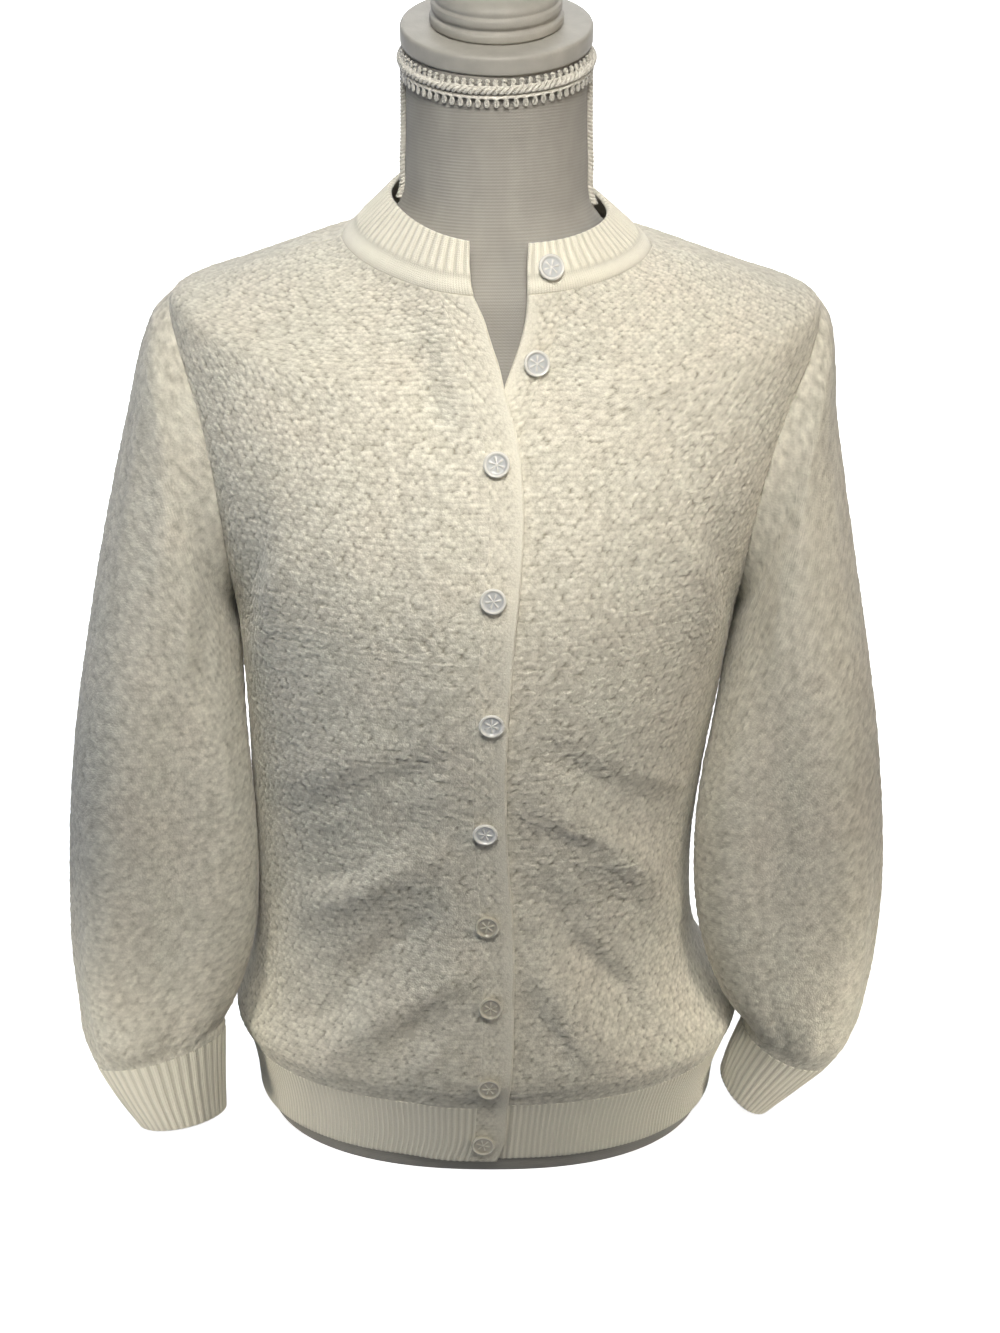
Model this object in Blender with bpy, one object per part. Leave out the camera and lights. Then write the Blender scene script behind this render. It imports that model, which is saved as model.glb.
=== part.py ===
"""Button cardigan on a limbless table-top dress form.

The frame stands on the flat base of the form: +Z is up, the wearer faces -Y
and the wearer's left arm is at +X. The cardigan is one skin cut along its
seams: body rings stacked from hem to neckline, sleeve rings that start on
the armhole, and bands that carry on from the panels they are sewn to.
"""
import bmesh
import bpy
import numpy as np
from mathutils import Vector

MM = 0.001

# ---- driving sizes, in metres --------------------------------------------
WALL = 2.5 * MM                # thickness of the knitted cloth
SEAM_PULL = 0.18 * MM          # each panel stops this far short of its seam
PLACKET_WIDTH = 20.0 * MM      # width of each front band
OVERLAP_LIFT = 3.6 * MM        # the lapped front rides this far above the other
LIFT_FROM = -62.0 * MM         # the lapped front starts to rise here
LIFT_FULL = -24.0 * MM         # and rides at its full height from here on
BUTTON_RADIUS = 7.8 * MM
BUTTON_HEIGHT = 3.4 * MM
BUTTON_REST = 1.0 * MM         # clear gap between a button and its band
BRAID_RADIUS = 2.5 * MM
BRAID_REST = 1.6 * MM
FORM_SIDES = 40

# ---- levels: distance up the side seam and along the shoulder line, mm ----
HEM_LEVELS = (12, 35, 58)
TRUNK_LEVELS = (58, 67, 77, 92, 112, 140, 175, 215, 255, 295, 335, 378)
ARMPIT_LEVEL = 378
SHOULDER_TIP_LEVEL = 570
SHOULDER_LEVELS = (570, 598, 626, 655, 683)
NECK_LEVELS = (683, 694, 707, 720)
ARM_STEPS = 8                  # rows of the body between armpit and shoulder tip
ARMHOLE_HALF_WIDTH = 62        # mm, front to back, measured from its middle
FRONT_COLUMNS = 11
BACK_COLUMNS = 22
PLACKET_COLUMNS = 2

# Rings of the cardigan's outer face, mm. `level` runs from hem to the top of
# the neckband; heights are given at the side, the front and the back; `roll`
# lifts the wearer's right side and drops the left one by the same amount;
# `square` is 2 for an ellipse, and `bend` is 1 for a flat ring, more for one
# that stays at its side height for longer.
RING_COLUMNS = ("level", "side_z", "front_z", "back_z", "roll", "half_l", "half_r",
                "mid_y", "front_y", "back_y", "square", "bend")
CARDIGAN_RINGS = (
    (12, 12, 12, 12, 0, 165, 154, 0, -118, 117, 2.3, 1.6),
    (35, 35, 35, 35, 0, 167, 157, 0, -120, 118, 2.3, 1.6),
    (58, 58, 58, 58, 0, 172, 165, 0, -123, 120, 2.3, 1.6),
    (75, 75, 75, 75, 0, 179, 170, 0, -128, 124, 2.3, 1.6),
    (92, 92, 92, 92, 0, 174, 158, 0, -128, 123, 2.3, 1.6),
    (112, 112, 112, 112, 0, 167, 145, 0, -126, 120, 2.3, 1.6),
    (140, 140, 140, 140, 0, 163, 137, 0, -124, 116, 2.3, 1.6),
    (190, 190, 190, 190, 0, 161, 134, 0, -122, 111, 2.25, 1.6),
    (260, 260, 260, 260, 0, 161, 140, 0, -127, 107, 2.2, 1.6),
    (320, 320, 320, 320, 0, 162, 149, 0, -137, 105, 2.2, 1.6),
    (378, 378, 382, 378, 0, 166, 158, 0, -142, 104, 2.2, 1.6),
    (400, 400, 402, 401, 0, 170, 163, 0, -142, 104, 2.2, 1.6),
    (440, 440, 438, 442, 1, 179, 173, 0, -136, 103, 2.25, 1.6),
    (480, 481, 470, 484, 1, 188, 185, 0, -126, 100, 2.3, 1.6),
    (520, 521, 500, 527, 2, 196, 197, 0, -114, 94, 2.3, 1.6),
    (550, 551, 520, 560, 2, 199, 203, 0, -105, 86, 2.3, 1.6),
    (570, 571, 533, 580, 2, 197, 201, 0, -100, 80, 2.3, 1.6),
    (598, 582, 548, 595, 2, 169, 173, -3, -94, 74, 2.25, 1.6),
    (626, 591, 562, 604, 2, 143, 147, -6, -90, 69, 2.2, 1.6),
    (655, 600, 576, 612, 2, 117, 121, -8, -87, 64, 2.15, 1.6),
    (683, 607, 590, 618, 3, 91, 97, -10, -85, 63, 2.1, 1.6),
    (694, 614, 600, 628, 4, 83, 90, -9, -83, 62, 2.1, 1.6),
    (707, 623, 610, 638, 5, 72, 80, -8, -79, 61, 2.1, 1.6),
    (720, 631, 619, 646, 6, 62, 71, -7, -75, 59, 2.1, 1.6),
)

# Free edges of the two fronts, mm: the lapped one (on top) and the one under it.
EDGE_COLUMNS = ("z", "over_x", "under_x")
FRONT_EDGES = (
    (12, 3, -18),
    (24, 7, -17),
    (57, 10, -15),
    (90, 13, -14),
    (145, 14, -14),
    (204, 13, -15),
    (229, 11, -16),
    (360, 11, -13),
    (399, 14, -12),
    (430, 17, -10),
    (500, 17, -7),
    (517, 14, -1),
    (533, 9, 5),
    (553, 4, 13),
    (564, 0, 17),
    (577, -4, 20),
    (590, -10, 21),
    (604, -12, 21),
    (621, -12, 22),
)

# Soft folds of the body, mm: a ridge (or a trough, where height is negative)
# along a line from start to end, on the front or on the back. Each row is start
# x and z, end x and z, width, height.
FRONT_FOLDS = (
    (-30, 252, -128, 178, 15, 4.5),
    (-34, 205, -126, 108, 14, -4.5),
    (-8, 170, -118, 78, 14, 4.0),
    (-60, 330, -140, 262, 18, 2.5),
    (22, 292, 112, 205, 16, 3.5),
    (28, 222, 104, 96, 15, -4.5),
    (20, 168, 84, 82, 12, 3.0),
    (74, 250, 132, 150, 14, 3.0),
    (-46, 560, -26, 500, 14, -2.5),
    (50, 560, 38, 505, 14, -2.0),
)
BACK_FOLDS = (
    (-12, 250, -118, 168, 17, 4.0),
    (-20, 205, -112, 104, 15, -4.0),
    (24, 262, 122, 182, 17, 4.0),
    (16, 196, 108, 100, 15, -3.5),
    (-4, 150, -70, 82, 13, 3.0),
    (-95, 420, -60, 330, 18, 3.0),
    (98, 410, 66, 322, 18, 3.0),
)

# Rings of each sleeve after the armhole, mm: x and z of its outer point, x and z
# of its inner point, y of its middle, its half depth front to back, and how
# much higher than its middle the front is.
RIGHT_SLEEVE_RINGS = (
    (-209, 561, -168, 370, -4, 65, 0),
    (-218, 538, -167.5, 360, -7, 65, 0),
    (-226, 505, -165, 348, -12, 63, 0),
    (-237, 462, -163.3, 332, -18, 60, 0),
    (-249, 410, -162, 312, -25, 57, 0),
    (-260, 355, -160.5, 290, -32, 54, 0),
    (-270, 300, -158, 258, -38, 51, 0),
    (-279, 235, -156, 213, -43, 48, 0),
    (-284, 170, -158, 162, -47, 47, 0),
    (-285, 130, -165, 128, -50, 46, 0),
    (-282, 98, -174, 103, -54, 46, 2),
    (-278, 73, -182, 87, -58, 43, 5),
    (-270, 52, -182, 79, -62, 37, 8),
)
LEFT_SLEEVE_RINGS = (
    (209, 557, 159.5, 370, -4, 64, 0),
    (212, 535, 157.5, 360, -8, 64, 0),
    (214, 505, 155.5, 348, -13, 62, 0),
    (221, 462, 152, 332, -20, 59, 0),
    (230, 410, 147.5, 312, -28, 56, 0),
    (240, 355, 143, 290, -35, 53, 0),
    (249, 300, 137, 258, -41, 50, 0),
    (257, 240, 134, 215, -45, 48, 0),
    (261, 185, 136.5, 170, -47, 47, 0),
    (260, 138, 145, 132, -47, 46, 0),
    (256, 101, 158, 100, -45, 45, 0),
    (248, 68, 172, 80, -42, 43, 0),
    (234, 44, 172, 70, -40, 36, 0),
)
RIGHT_CUFF_RINGS = (
    (-256, 29, -183, 48, -68, 34, 10),
    (-241, 11, -183, 22, -74, 32, 10),
)
LEFT_CUFF_RINGS = (
    (212, 22, 164, 46, -39, 32, 0),
    (192, 6, 159, 27, -40, 30, 0),
)
# Long folds of a sleeve: where round the tube (degrees from its outer line
# towards the front), from which ring to which, width in degrees, height in mm.
SLEEVE_FOLDS = (
    (62, 4, 12, 24, 3.5),
    (105, 3, 10, 22, -3.0),
    (20, 6, 12, 22, -2.5),
    (150, 5, 11, 24, 2.5),
    (230, 4, 12, 26, 3.5),
    (285, 5, 12, 24, -3.0),
)

# Rings of the dress form, mm, in the same columns as the cardigan's.
FORM_RINGS = (
    (0, 0, 0, 0, 0, 158, 147, 0, -113, 113, 2.3, 1.6),
    (6, 6, 6, 6, 0, 160, 149, 0, -115, 115, 2.3, 1.6),
    (45, 45, 45, 45, 0, 158, 148, 0, -113, 111, 2.3, 1.6),
    (80, 80, 80, 80, 0, 152, 144, 0, -111, 108, 2.3, 1.6),
    (120, 120, 120, 120, 0, 139, 128, 0, -104, 101, 2.25, 1.6),
    (190, 190, 190, 190, 0, 119, 115, 0, -95, 90, 2.2, 1.6),
    (260, 260, 260, 260, 0, 122, 118, 0, -103, 88, 2.2, 1.6),
    (320, 320, 320, 320, 0, 134, 130, 0, -121, 92, 2.2, 1.6),
    (378, 378, 380, 378, 0, 147, 142, 0, -134, 95, 2.2, 1.6),
    (425, 425, 420, 425, 1, 158, 154, 0, -133, 95, 2.2, 1.6),
    (470, 470, 462, 474, 1, 164, 162, 0, -121, 92, 2.25, 1.6),
    (510, 510, 494, 516, 2, 171, 172, 0, -109, 86, 2.3, 1.6),
    (540, 540, 514, 548, 2, 175, 178, 0, -100, 79, 2.3, 1.6),
    (562, 561, 526, 569, 2, 170, 173, 0, -94, 73, 2.3, 1.6),
    (598, 576, 544, 588, 2, 154, 157, -3, -87, 67, 2.25, 1.6),
    (626, 586, 558, 598, 2, 134, 138, -6, -83, 62, 2.2, 1.6),
    (655, 594, 573, 606, 2, 108, 112, -8, -80, 57, 2.15, 1.6),
    (683, 602, 588, 613, 3, 81, 87, -10, -77, 53, 2.1, 1.6),
    (700, 613, 603, 622, 3, 66, 74, -8, -70, 50, 2.1, 1.6),
    (720, 630, 621, 635, 2, 54, 60, -5, -62, 50, 2.05, 1.3),
    (745, 655, 648, 660, 1, 52, 58, -1, -56, 52, 2.0, 1.0),
    (790, 698, 688, 708, 0, 51, 57, 0, -54, 54, 2.0, 1.0),
    (814, 722, 709, 735, 0, 51, 57, 0, -54, 54, 2.0, 1.0),
)
NECK_TOP_LEVEL = 814
UPPER_BRAID_LEVEL = 809.5
LOWER_BRAID_LEVEL = 802.5
SIDE_BRAID_LEVELS = (796, 784, 772, 760, 748, 740, 733, 727, 721)

NECK_TILT = np.arctan2(26, 108)            # cut sloping: 26 mm higher at the back
NECK_SHIFT = 3                             # mm, the neck stands a little to +X
CAP_PROFILE = ((0, 0), (55.5, 0), (57, 1.5), (57, 10), (55.5, 11.5), (0, 11.5))
KNOB_PROFILE = ((0, 0), (38.5, 0), (39.5, 2), (39.5, 5), (37, 6.5), (37, 9), (38.5, 10.5),
                (37.5, 15), (31, 21), (18, 26), (0, 28))
CAP_GAP = 0.4                              # mm between neck, cap and knob

# Buttons: where each sits across the front and how high, mm. The first is on
# the neckband and the second on the open stretch of the band below it.
BUTTON_PLACES = (
    (34, 604),
    (26, 551),
    (3, 498),
    (1, 423),
    (0, 344),
    (-4, 265),
    (-3, 196),
    (-1, 137),
    (-2, 79),
    (-6, 29),
)
LOOSE_BUTTONS = 2              # the top ones, undone, sit on the under front
# Outline of a button from the middle of its back to the middle of its dish, as
# parts of its radius and of its height: a raised rim round a shallow dish.
BUTTON_PROFILE = ((0, 0), (0.55, 0), (1.0, 0.45), (0.97, 1.0), (0.8, 1.0), (0.68, 0.62), (0, 0.62))

# ---- fineness -----------------------------------------------------------------
CAP_SIDES = 40
BUTTON_SIDES = 16
LEVEL_SAMPLES = 800            # levels tried to find the one at a button's height
SEAT_STEP = 6.0                # mm each way, to find how the cloth lies there
FOLD_INSET = 0.05              # a fold starts with this part of its swell
SIDE_FADE = 3.0                # folds die out over the last third towards a side
MICRON = 1e-6


# ---- tables ---------------------------------------------------------------
def smooth(table, columns, key, name, at):
    """Cubic curve through one column of a table, read at `at` of its key column."""
    keys = np.array([row[columns.index(key)] for row in table], float)
    values = np.array([row[columns.index(name)] for row in table], float)
    slopes = np.gradient(values, keys)
    at = np.clip(np.asarray(at, float), keys[0], keys[-1])
    i = np.clip(np.searchsorted(keys, at, side="right") - 1, 0, len(keys) - 2)
    span = keys[i + 1] - keys[i]
    u = (at - keys[i]) / span
    rise = values[i + 1] - values[i]
    bend_a = slopes[i] * span - rise
    bend_b = rise - slopes[i + 1] * span
    return values[i] + u * rise + u * (1 - u) * ((1 - u) * bend_a + u * bend_b)


def ring_values(table, level):
    """All the columns of a table of rings at a level."""
    return {name: smooth(table, RING_COLUMNS, "level", name, level) for name in RING_COLUMNS}


def ring_point(table, angle, level):
    """Point of a ring in metres; angle 0 is the front, +90 degrees is +X."""
    ring = ring_values(table, level)
    sine, cosine = np.sin(angle), np.cos(angle)
    power = 2 / ring["square"]
    half = np.where(sine < 0, ring["half_l"], ring["half_r"])
    depth = np.where(cosine > 0, ring["front_y"] - ring["mid_y"], ring["mid_y"] - ring["back_y"])
    x = half * np.sign(sine) * np.abs(sine) ** power
    y = ring["mid_y"] + depth * np.sign(cosine) * np.abs(cosine) ** power
    rise = np.where(cosine > 0, ring["front_z"], ring["back_z"]) - ring["side_z"]
    z = ring["side_z"] + rise * np.abs(cosine) ** ring["bend"] - ring["roll"] * sine
    return np.stack([x, y, z], axis=-1) * MM


def angle_at_x(table, x, level):
    """Angle on the front half of a ring where it is x mm to the side."""
    ring = ring_values(table, level)
    half = np.where(np.asarray(x) < 0, ring["half_l"], ring["half_r"])
    return np.arcsin(np.sign(x) * (np.abs(x) / half) ** (ring["square"] / 2))


def edge_x(name, level):
    """How far to the side a front's free edge lies at a level, mm."""
    z = ring_values(CARDIGAN_RINGS, level)["front_z"]
    return smooth(FRONT_EDGES, EDGE_COLUMNS, "z", name, z)


# ---- the cardigan's skin -----------------------------------------------------
def fold_height(points, folds):
    """Sum of the folds at each point, in metres."""
    x, z = points[..., 0] / MM, points[..., 2] / MM
    total = np.zeros(x.shape)
    for start_x, start_z, end_x, end_z, width, height in folds:
        run_x, run_z = end_x - start_x, end_z - start_z
        length = np.hypot(run_x, run_z)
        along = ((x - start_x) * run_x + (z - start_z) * run_z) / length ** 2
        across = ((x - start_x) * run_z - (z - start_z) * run_x) / length
        swell = np.clip(along * (1 - 2 * FOLD_INSET) + FOLD_INSET, 0, 1)
        taper = np.clip(np.sin(np.pi * swell), 0, 1)
        total += height * taper * np.exp(-(across / width) ** 2)
    return total * MM


def outward(points, angle):
    """Level direction away from the body's middle line."""
    way = np.stack([np.sin(angle), -np.cos(angle), np.zeros_like(angle)], axis=-1)
    return way / np.linalg.norm(way, axis=-1, keepdims=True)


def body_skin(angle, level, lapped=False):
    """Points of the cardigan's outer face, with folds, and lapped over if asked."""
    angle, level = np.broadcast_arrays(np.asarray(angle, float), np.asarray(level, float))
    points = ring_point(CARDIGAN_RINGS, angle, level)
    front = np.cos(angle) > 0
    folds = np.where(front, fold_height(points, FRONT_FOLDS), fold_height(points, BACK_FOLDS))
    fade = np.clip(np.abs(np.cos(angle)) * SIDE_FADE, 0, 1)
    height = folds * fade
    if lapped:
        u = np.clip((points[..., 0] - LIFT_FROM) / (LIFT_FULL - LIFT_FROM), 0, 1)
        height = height + OVERLAP_LIFT * u * u * (3 - 2 * u)
    return points + outward(points, angle) * height[..., None]


def armhole_level(step):
    """Body levels between armpit and shoulder tip, close together at both ends."""
    middle = (ARMPIT_LEVEL + SHOULDER_TIP_LEVEL) / 2
    half = (SHOULDER_TIP_LEVEL - ARMPIT_LEVEL) / 2
    return middle - half * np.cos(np.pi * step / ARM_STEPS)


def armhole_angle(step, back=False):
    """Angle from the front (or the back) at which a body row meets the armhole."""
    level = armhole_level(step)
    ring = ring_values(CARDIGAN_RINGS, level)
    half_width = ARMHOLE_HALF_WIDTH * np.sin(np.pi * step / ARM_STEPS)
    depth = abs(ring["back_y"] if back else ring["front_y"])
    return np.arccos((half_width / depth) ** (ring["square"] / 2))


def body_rows(levels_below):
    """Rows of a body panel: (level, front side angle, back side angle)."""
    rows = [(level, np.pi / 2, np.pi / 2) for level in levels_below]
    for step in range(1, ARM_STEPS):
        front = armhole_angle(step)
        back = armhole_angle(step, back=True)
        rows.append((armhole_level(step), front, back))
    rows += [(level, np.pi / 2, np.pi / 2) for level in SHOULDER_LEVELS]
    return rows


def front_angles(side, level, side_angle):
    """Columns of a front panel from its placket to its side seam or armhole."""
    if side < 0:
        start = angle_at_x(CARDIGAN_RINGS, edge_x("over_x", level) - PLACKET_WIDTH / MM, level)
    else:
        start = angle_at_x(CARDIGAN_RINGS, edge_x("under_x", level) + PLACKET_WIDTH / MM, level)
    return np.linspace(start, side * side_angle, FRONT_COLUMNS + 1)


def placket_angles(side, level):
    """Columns of a front band from its free edge to the front panel."""
    free = edge_x("over_x" if side < 0 else "under_x", level)
    x = np.linspace(free, free + side * PLACKET_WIDTH / MM, PLACKET_COLUMNS + 1)
    return angle_at_x(CARDIGAN_RINGS, x, level)


def back_angles(back_angle):
    """Columns of the back from the wearer's left side round to the right."""
    return np.linspace(np.pi - back_angle, np.pi + back_angle, BACK_COLUMNS + 1)


def front_grid(side, rows):
    """Outer face of a front, row by row from the rib (or the hem) upwards."""
    return np.array([body_skin(front_angles(side, level, angle), level, lapped=side < 0)
                     for level, angle, _ in rows])


def placket_grid(side, levels):
    """Outer face of a front band, row by row from the hem to the neckband."""
    return np.array([body_skin(placket_angles(side, level), level, lapped=side < 0)
                     for level in levels])


def back_grid(rows):
    """Outer face of the back, or of its rib."""
    return np.array([body_skin(back_angles(angle), level) for level, _, angle in rows])


def neckband_grid():
    """The neckband keeps the columns of the five pieces that it is sewn to."""
    grid = []
    for level in NECK_LEVELS:
        over = placket_angles(-1, level)
        right = front_angles(-1, level, np.pi / 2)
        left = front_angles(1, level, np.pi / 2)
        under = placket_angles(1, level)
        lapped = body_skin(np.concatenate([over, right[1:]]), level, lapped=True)
        back = body_skin(back_angles(np.pi / 2), level)
        plain = body_skin(np.concatenate([left[::-1], under[::-1][1:]]), level)
        grid.append(np.concatenate([lapped, back[::-1][1:], plain[1:]]))
    return np.array(grid)


# ---- sleeves -----------------------------------------------------------------
def armhole_ring(side):
    """The armhole seam, from the shoulder tip down the front and up the back."""
    front = [body_skin(side * (np.pi / 2), SHOULDER_TIP_LEVEL)]
    for step in range(ARM_STEPS - 1, 0, -1):
        front.append(body_skin(side * armhole_angle(step), armhole_level(step), lapped=side < 0))
    front.append(body_skin(side * (np.pi / 2), ARMPIT_LEVEL))
    back = [body_skin(side * (np.pi - armhole_angle(step, back=True)), armhole_level(step))
            for step in range(1, ARM_STEPS)]
    return np.array(front + back)


def tube_rings(table):
    """Rings through each row's outer and inner points, as deep as its half depth."""
    rows = np.array(table, float) * MM
    outer_x, outer_z, inner_x, inner_z, mid_y, half_y, front_rise = rows.T
    middle = np.stack([(outer_x + inner_x) / 2, mid_y, (outer_z + inner_z) / 2], axis=-1)
    across = np.stack([(outer_x - inner_x) / 2, 0 * mid_y, (outer_z - inner_z) / 2], axis=-1)
    forward = np.stack([0 * mid_y, -half_y, front_rise], axis=-1)
    angle = (np.arange(2 * ARM_STEPS) * np.pi / ARM_STEPS)[:, None]
    return (middle[:, None] + across[:, None] * np.cos(angle)
            + forward[:, None] * np.sin(angle))


def fold_sleeve(rings):
    """Push the rings in and out along the long folds."""
    middle = rings.mean(axis=1, keepdims=True)
    away = rings - middle
    away /= np.linalg.norm(away, axis=-1, keepdims=True)
    angle = np.arange(rings.shape[1]) * 180 / ARM_STEPS
    ring = np.arange(len(rings))[:, None]
    height = np.zeros(rings.shape[:2])
    for centre, first, last, width, size in SLEEVE_FOLDS:
        turn = (angle - centre + 180) % 360 - 180
        taper = np.clip((ring - first) / (last - first), 0, 1)
        height += size * MM * np.sin(np.pi * taper) * np.exp(-(turn / width) ** 2)
    return rings + away * height[..., None]


def sleeve_grids(side):
    """Outer faces of a sleeve and of its cuff, sharing the ring between them."""
    sleeve_table = RIGHT_SLEEVE_RINGS if side < 0 else LEFT_SLEEVE_RINGS
    cuff_table = RIGHT_CUFF_RINGS if side < 0 else LEFT_CUFF_RINGS
    rings = tube_rings(sleeve_table + cuff_table)
    count = len(sleeve_table)
    sleeve = np.concatenate([armhole_ring(side)[None], fold_sleeve(rings[:count])])
    return sleeve, rings[count - 1:]


# ---- from faces to closed walls ----------------------------------------------
def grid_normals(grid, closed):
    """Unit normals of a grid of points, before they are turned outward."""
    if closed:
        across = np.roll(grid, -1, axis=1) - np.roll(grid, 1, axis=1)
    else:
        across = np.gradient(grid, axis=1)
    along = np.gradient(grid, axis=0)
    normals = np.cross(across, along)
    return normals / np.maximum(np.linalg.norm(normals, axis=-1, keepdims=True), 1e-12)


def share_normals(panels):
    """Give points on one seam the same way through the wall.

    Body pieces are averaged first, and then weigh as much as the sleeve, so
    that the walls at the armpit part to both sides of the seam.
    """
    sums = {"body": {}, "sleeve": {}}
    for name, (grid, normals, _) in panels.items():
        kind = "sleeve" if name.endswith("sleeve") else "body"
        for key, normal in zip(seam_keys(grid), normals.reshape(-1, 3)):
            sums[kind][key] = sums[kind].get(key, 0) + normal
    for name, (grid, normals, closed) in panels.items():
        shared = np.array([sum(way[key] / np.linalg.norm(way[key])
                               for way in sums.values() if key in way)
                           for key in seam_keys(grid)]).reshape(grid.shape)
        shared /= np.linalg.norm(shared, axis=-1, keepdims=True)
        panels[name] = (grid, shared, closed)


def seam_keys(grid):
    """A grid's points rounded to a micron, to find the same point in two pieces."""
    return [tuple(key) for key in np.round(grid.reshape(-1, 3) / MICRON).astype(int)]


def pull_back(grid, closed):
    """Move the border of a panel a little towards its own middle."""
    moved = grid.copy()
    borders = [(0, 1), (-1, -2)]
    for edge, inside in borders:
        way = grid[inside] - grid[edge]
        moved[edge] += SEAM_PULL * way / np.linalg.norm(way, axis=-1, keepdims=True)
    if not closed:
        for edge, inside in borders:
            way = grid[:, inside] - grid[:, edge]
            moved[:, edge] += SEAM_PULL * way / np.linalg.norm(way, axis=-1, keepdims=True)
    return moved


def wall_faces(rows, columns, closed):
    """Quads of the outer face, the inner face and the border between them."""
    index = np.arange(rows * columns).reshape(rows, columns)
    if closed:
        index = np.concatenate([index, index[:, :1]], axis=1)
    shift = rows * columns
    a, b = index[:-1, :-1].ravel(), index[:-1, 1:].ravel()
    c, d = index[1:, 1:].ravel(), index[1:, :-1].ravel()
    faces = [np.stack([a, b, c, d], axis=-1), np.stack([d, c, b, a], axis=-1) + shift]
    borders = [index[0], index[-1][::-1]]
    if not closed:
        borders += [index[::-1, 0], index[:, -1]]
    for border in borders:
        low, high = border[:-1], border[1:]
        faces.append(np.stack([high, low, low + shift, high + shift], axis=-1))
    return np.concatenate(faces)


def add_wall(name, panel, finish):
    """One panel as a closed wall: its outer face and the same face moved inward."""
    grid, normals, closed = panel
    outer = pull_back(grid, closed)
    inner = outer - normals * WALL
    rows, columns = grid.shape[:2]
    points = np.concatenate([outer.reshape(-1, 3), inner.reshape(-1, 3)])
    return add_mesh(name, points, wall_faces(rows, columns, closed), finish)


def add_mesh(name, points, faces, finish):
    """A mesh object with its faces turned out and its material set."""
    mesh = bpy.data.meshes.new(name)
    mesh.from_pydata(np.asarray(points).tolist(), [], [[int(i) for i in f] for f in faces])
    work = bmesh.new()
    work.from_mesh(mesh)
    bmesh.ops.recalc_face_normals(work, faces=work.faces)
    bmesh.ops.triangulate(work, faces=work.faces)
    work.to_mesh(mesh)
    work.free()
    mesh.shade_smooth()
    mesh.materials.append(finish)
    part = bpy.data.objects.new(name, mesh)
    bpy.context.scene.collection.objects.link(part)
    return part


def material(name, colour, roughness):
    """Plain finish of one sub-part; none of them is metal."""
    finish = bpy.data.materials.new(name)
    finish.use_nodes = True
    shader = finish.node_tree.nodes["Principled BSDF"]
    shader.inputs["Base Color"].default_value = (*colour, 1.0)
    shader.inputs["Roughness"].default_value = roughness
    shader.inputs["Metallic"].default_value = 0.0
    return finish


# ---- the cardigan ---------------------------------------------------------------
def cardigan_panels():
    """Outer face of every knitted piece: grid, normals, whether it is a tube."""
    rows = body_rows(TRUNK_LEVELS)
    hem_rows = [(level, np.pi / 2, np.pi / 2) for level in HEM_LEVELS]
    band_levels = list(HEM_LEVELS[:-1]) + [level for level, _, _ in rows]
    right_sleeve, right_cuff = sleeve_grids(-1)
    left_sleeve, left_cuff = sleeve_grids(1)
    faces = {
        "right_front": (front_grid(-1, rows), -1, False),
        "left_front": (front_grid(1, rows), 1, False),
        "back": (back_grid(rows), 1, False),
        "hem_right_front": (front_grid(-1, hem_rows), -1, False),
        "hem_left_front": (front_grid(1, hem_rows), 1, False),
        "hem_back": (back_grid(hem_rows), 1, False),
        "buttonhole_band": (placket_grid(-1, band_levels), -1, False),
        "button_band": (placket_grid(1, band_levels), 1, False),
        "neckband": (neckband_grid(), -1, False),
        "right_sleeve": (right_sleeve, -1, True),
        "left_sleeve": (left_sleeve, 1, True),
        "right_cuff": (right_cuff, -1, True),
        "left_cuff": (left_cuff, 1, True),
    }
    panels = {name: (grid, turn * grid_normals(grid, closed), closed)
              for name, (grid, turn, closed) in faces.items()}
    share_normals(panels)
    return panels


def build_cardigan():
    """All the knitted pieces, as walls one thickness of cloth deep."""
    cream = (0.86, 0.83, 0.71)
    for name, panel in cardigan_panels().items():
        add_wall(name, panel, material(name + "_knit", cream, 0.9))


# ---- buttons ---------------------------------------------------------------------
def button_seat(x, z, lapped):
    """Point and outward normal of the front face at a button, in metres."""
    levels = np.linspace(HEM_LEVELS[0], NECK_LEVELS[-1], LEVEL_SAMPLES)
    level = np.interp(z, ring_values(CARDIGAN_RINGS, levels)["front_z"], levels)
    spots = [(x, level), (x + SEAT_STEP, level), (x - SEAT_STEP, level),
             (x, level + SEAT_STEP), (x, level - SEAT_STEP)]
    seat, east, west, up, down = [
        body_skin(angle_at_x(CARDIGAN_RINGS, sx, sl), sl, lapped) for sx, sl in spots]
    normal = np.cross(east - west, up - down)
    return Vector(seat), Vector(normal).normalized()


def turned_mesh(profile, steps):
    """Points and faces of a profile in mm turned about Z, closed on the axis."""
    profile = np.array(profile, float)
    turned = profile[1:-1]
    angle = np.arange(steps) * 2 * np.pi / steps
    ring = np.stack([np.cos(angle), np.sin(angle)], axis=-1)
    sides = np.concatenate([ring[None] * turned[:, None, :1],
                            np.broadcast_to(turned[:, None, 1:], (len(turned), steps, 1))], axis=-1)
    points = np.concatenate([sides.reshape(-1, 3), [[0, 0, profile[0, 1]], [0, 0, profile[-1, 1]]]])
    index = np.arange(len(turned) * steps).reshape(len(turned), steps)
    following = np.roll(index, -1, axis=1)
    faces = np.stack([index[:-1], following[:-1], following[1:], index[1:]], axis=-1)
    bottom, top = len(turned) * steps, len(turned) * steps + 1
    caps = [(bottom, b, a) for a, b in zip(index[0], following[0])]
    caps += [(top, a, b) for a, b in zip(index[-1], following[-1])]
    return points * MM, [tuple(f) for f in faces.reshape(-1, 4)] + caps


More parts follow.
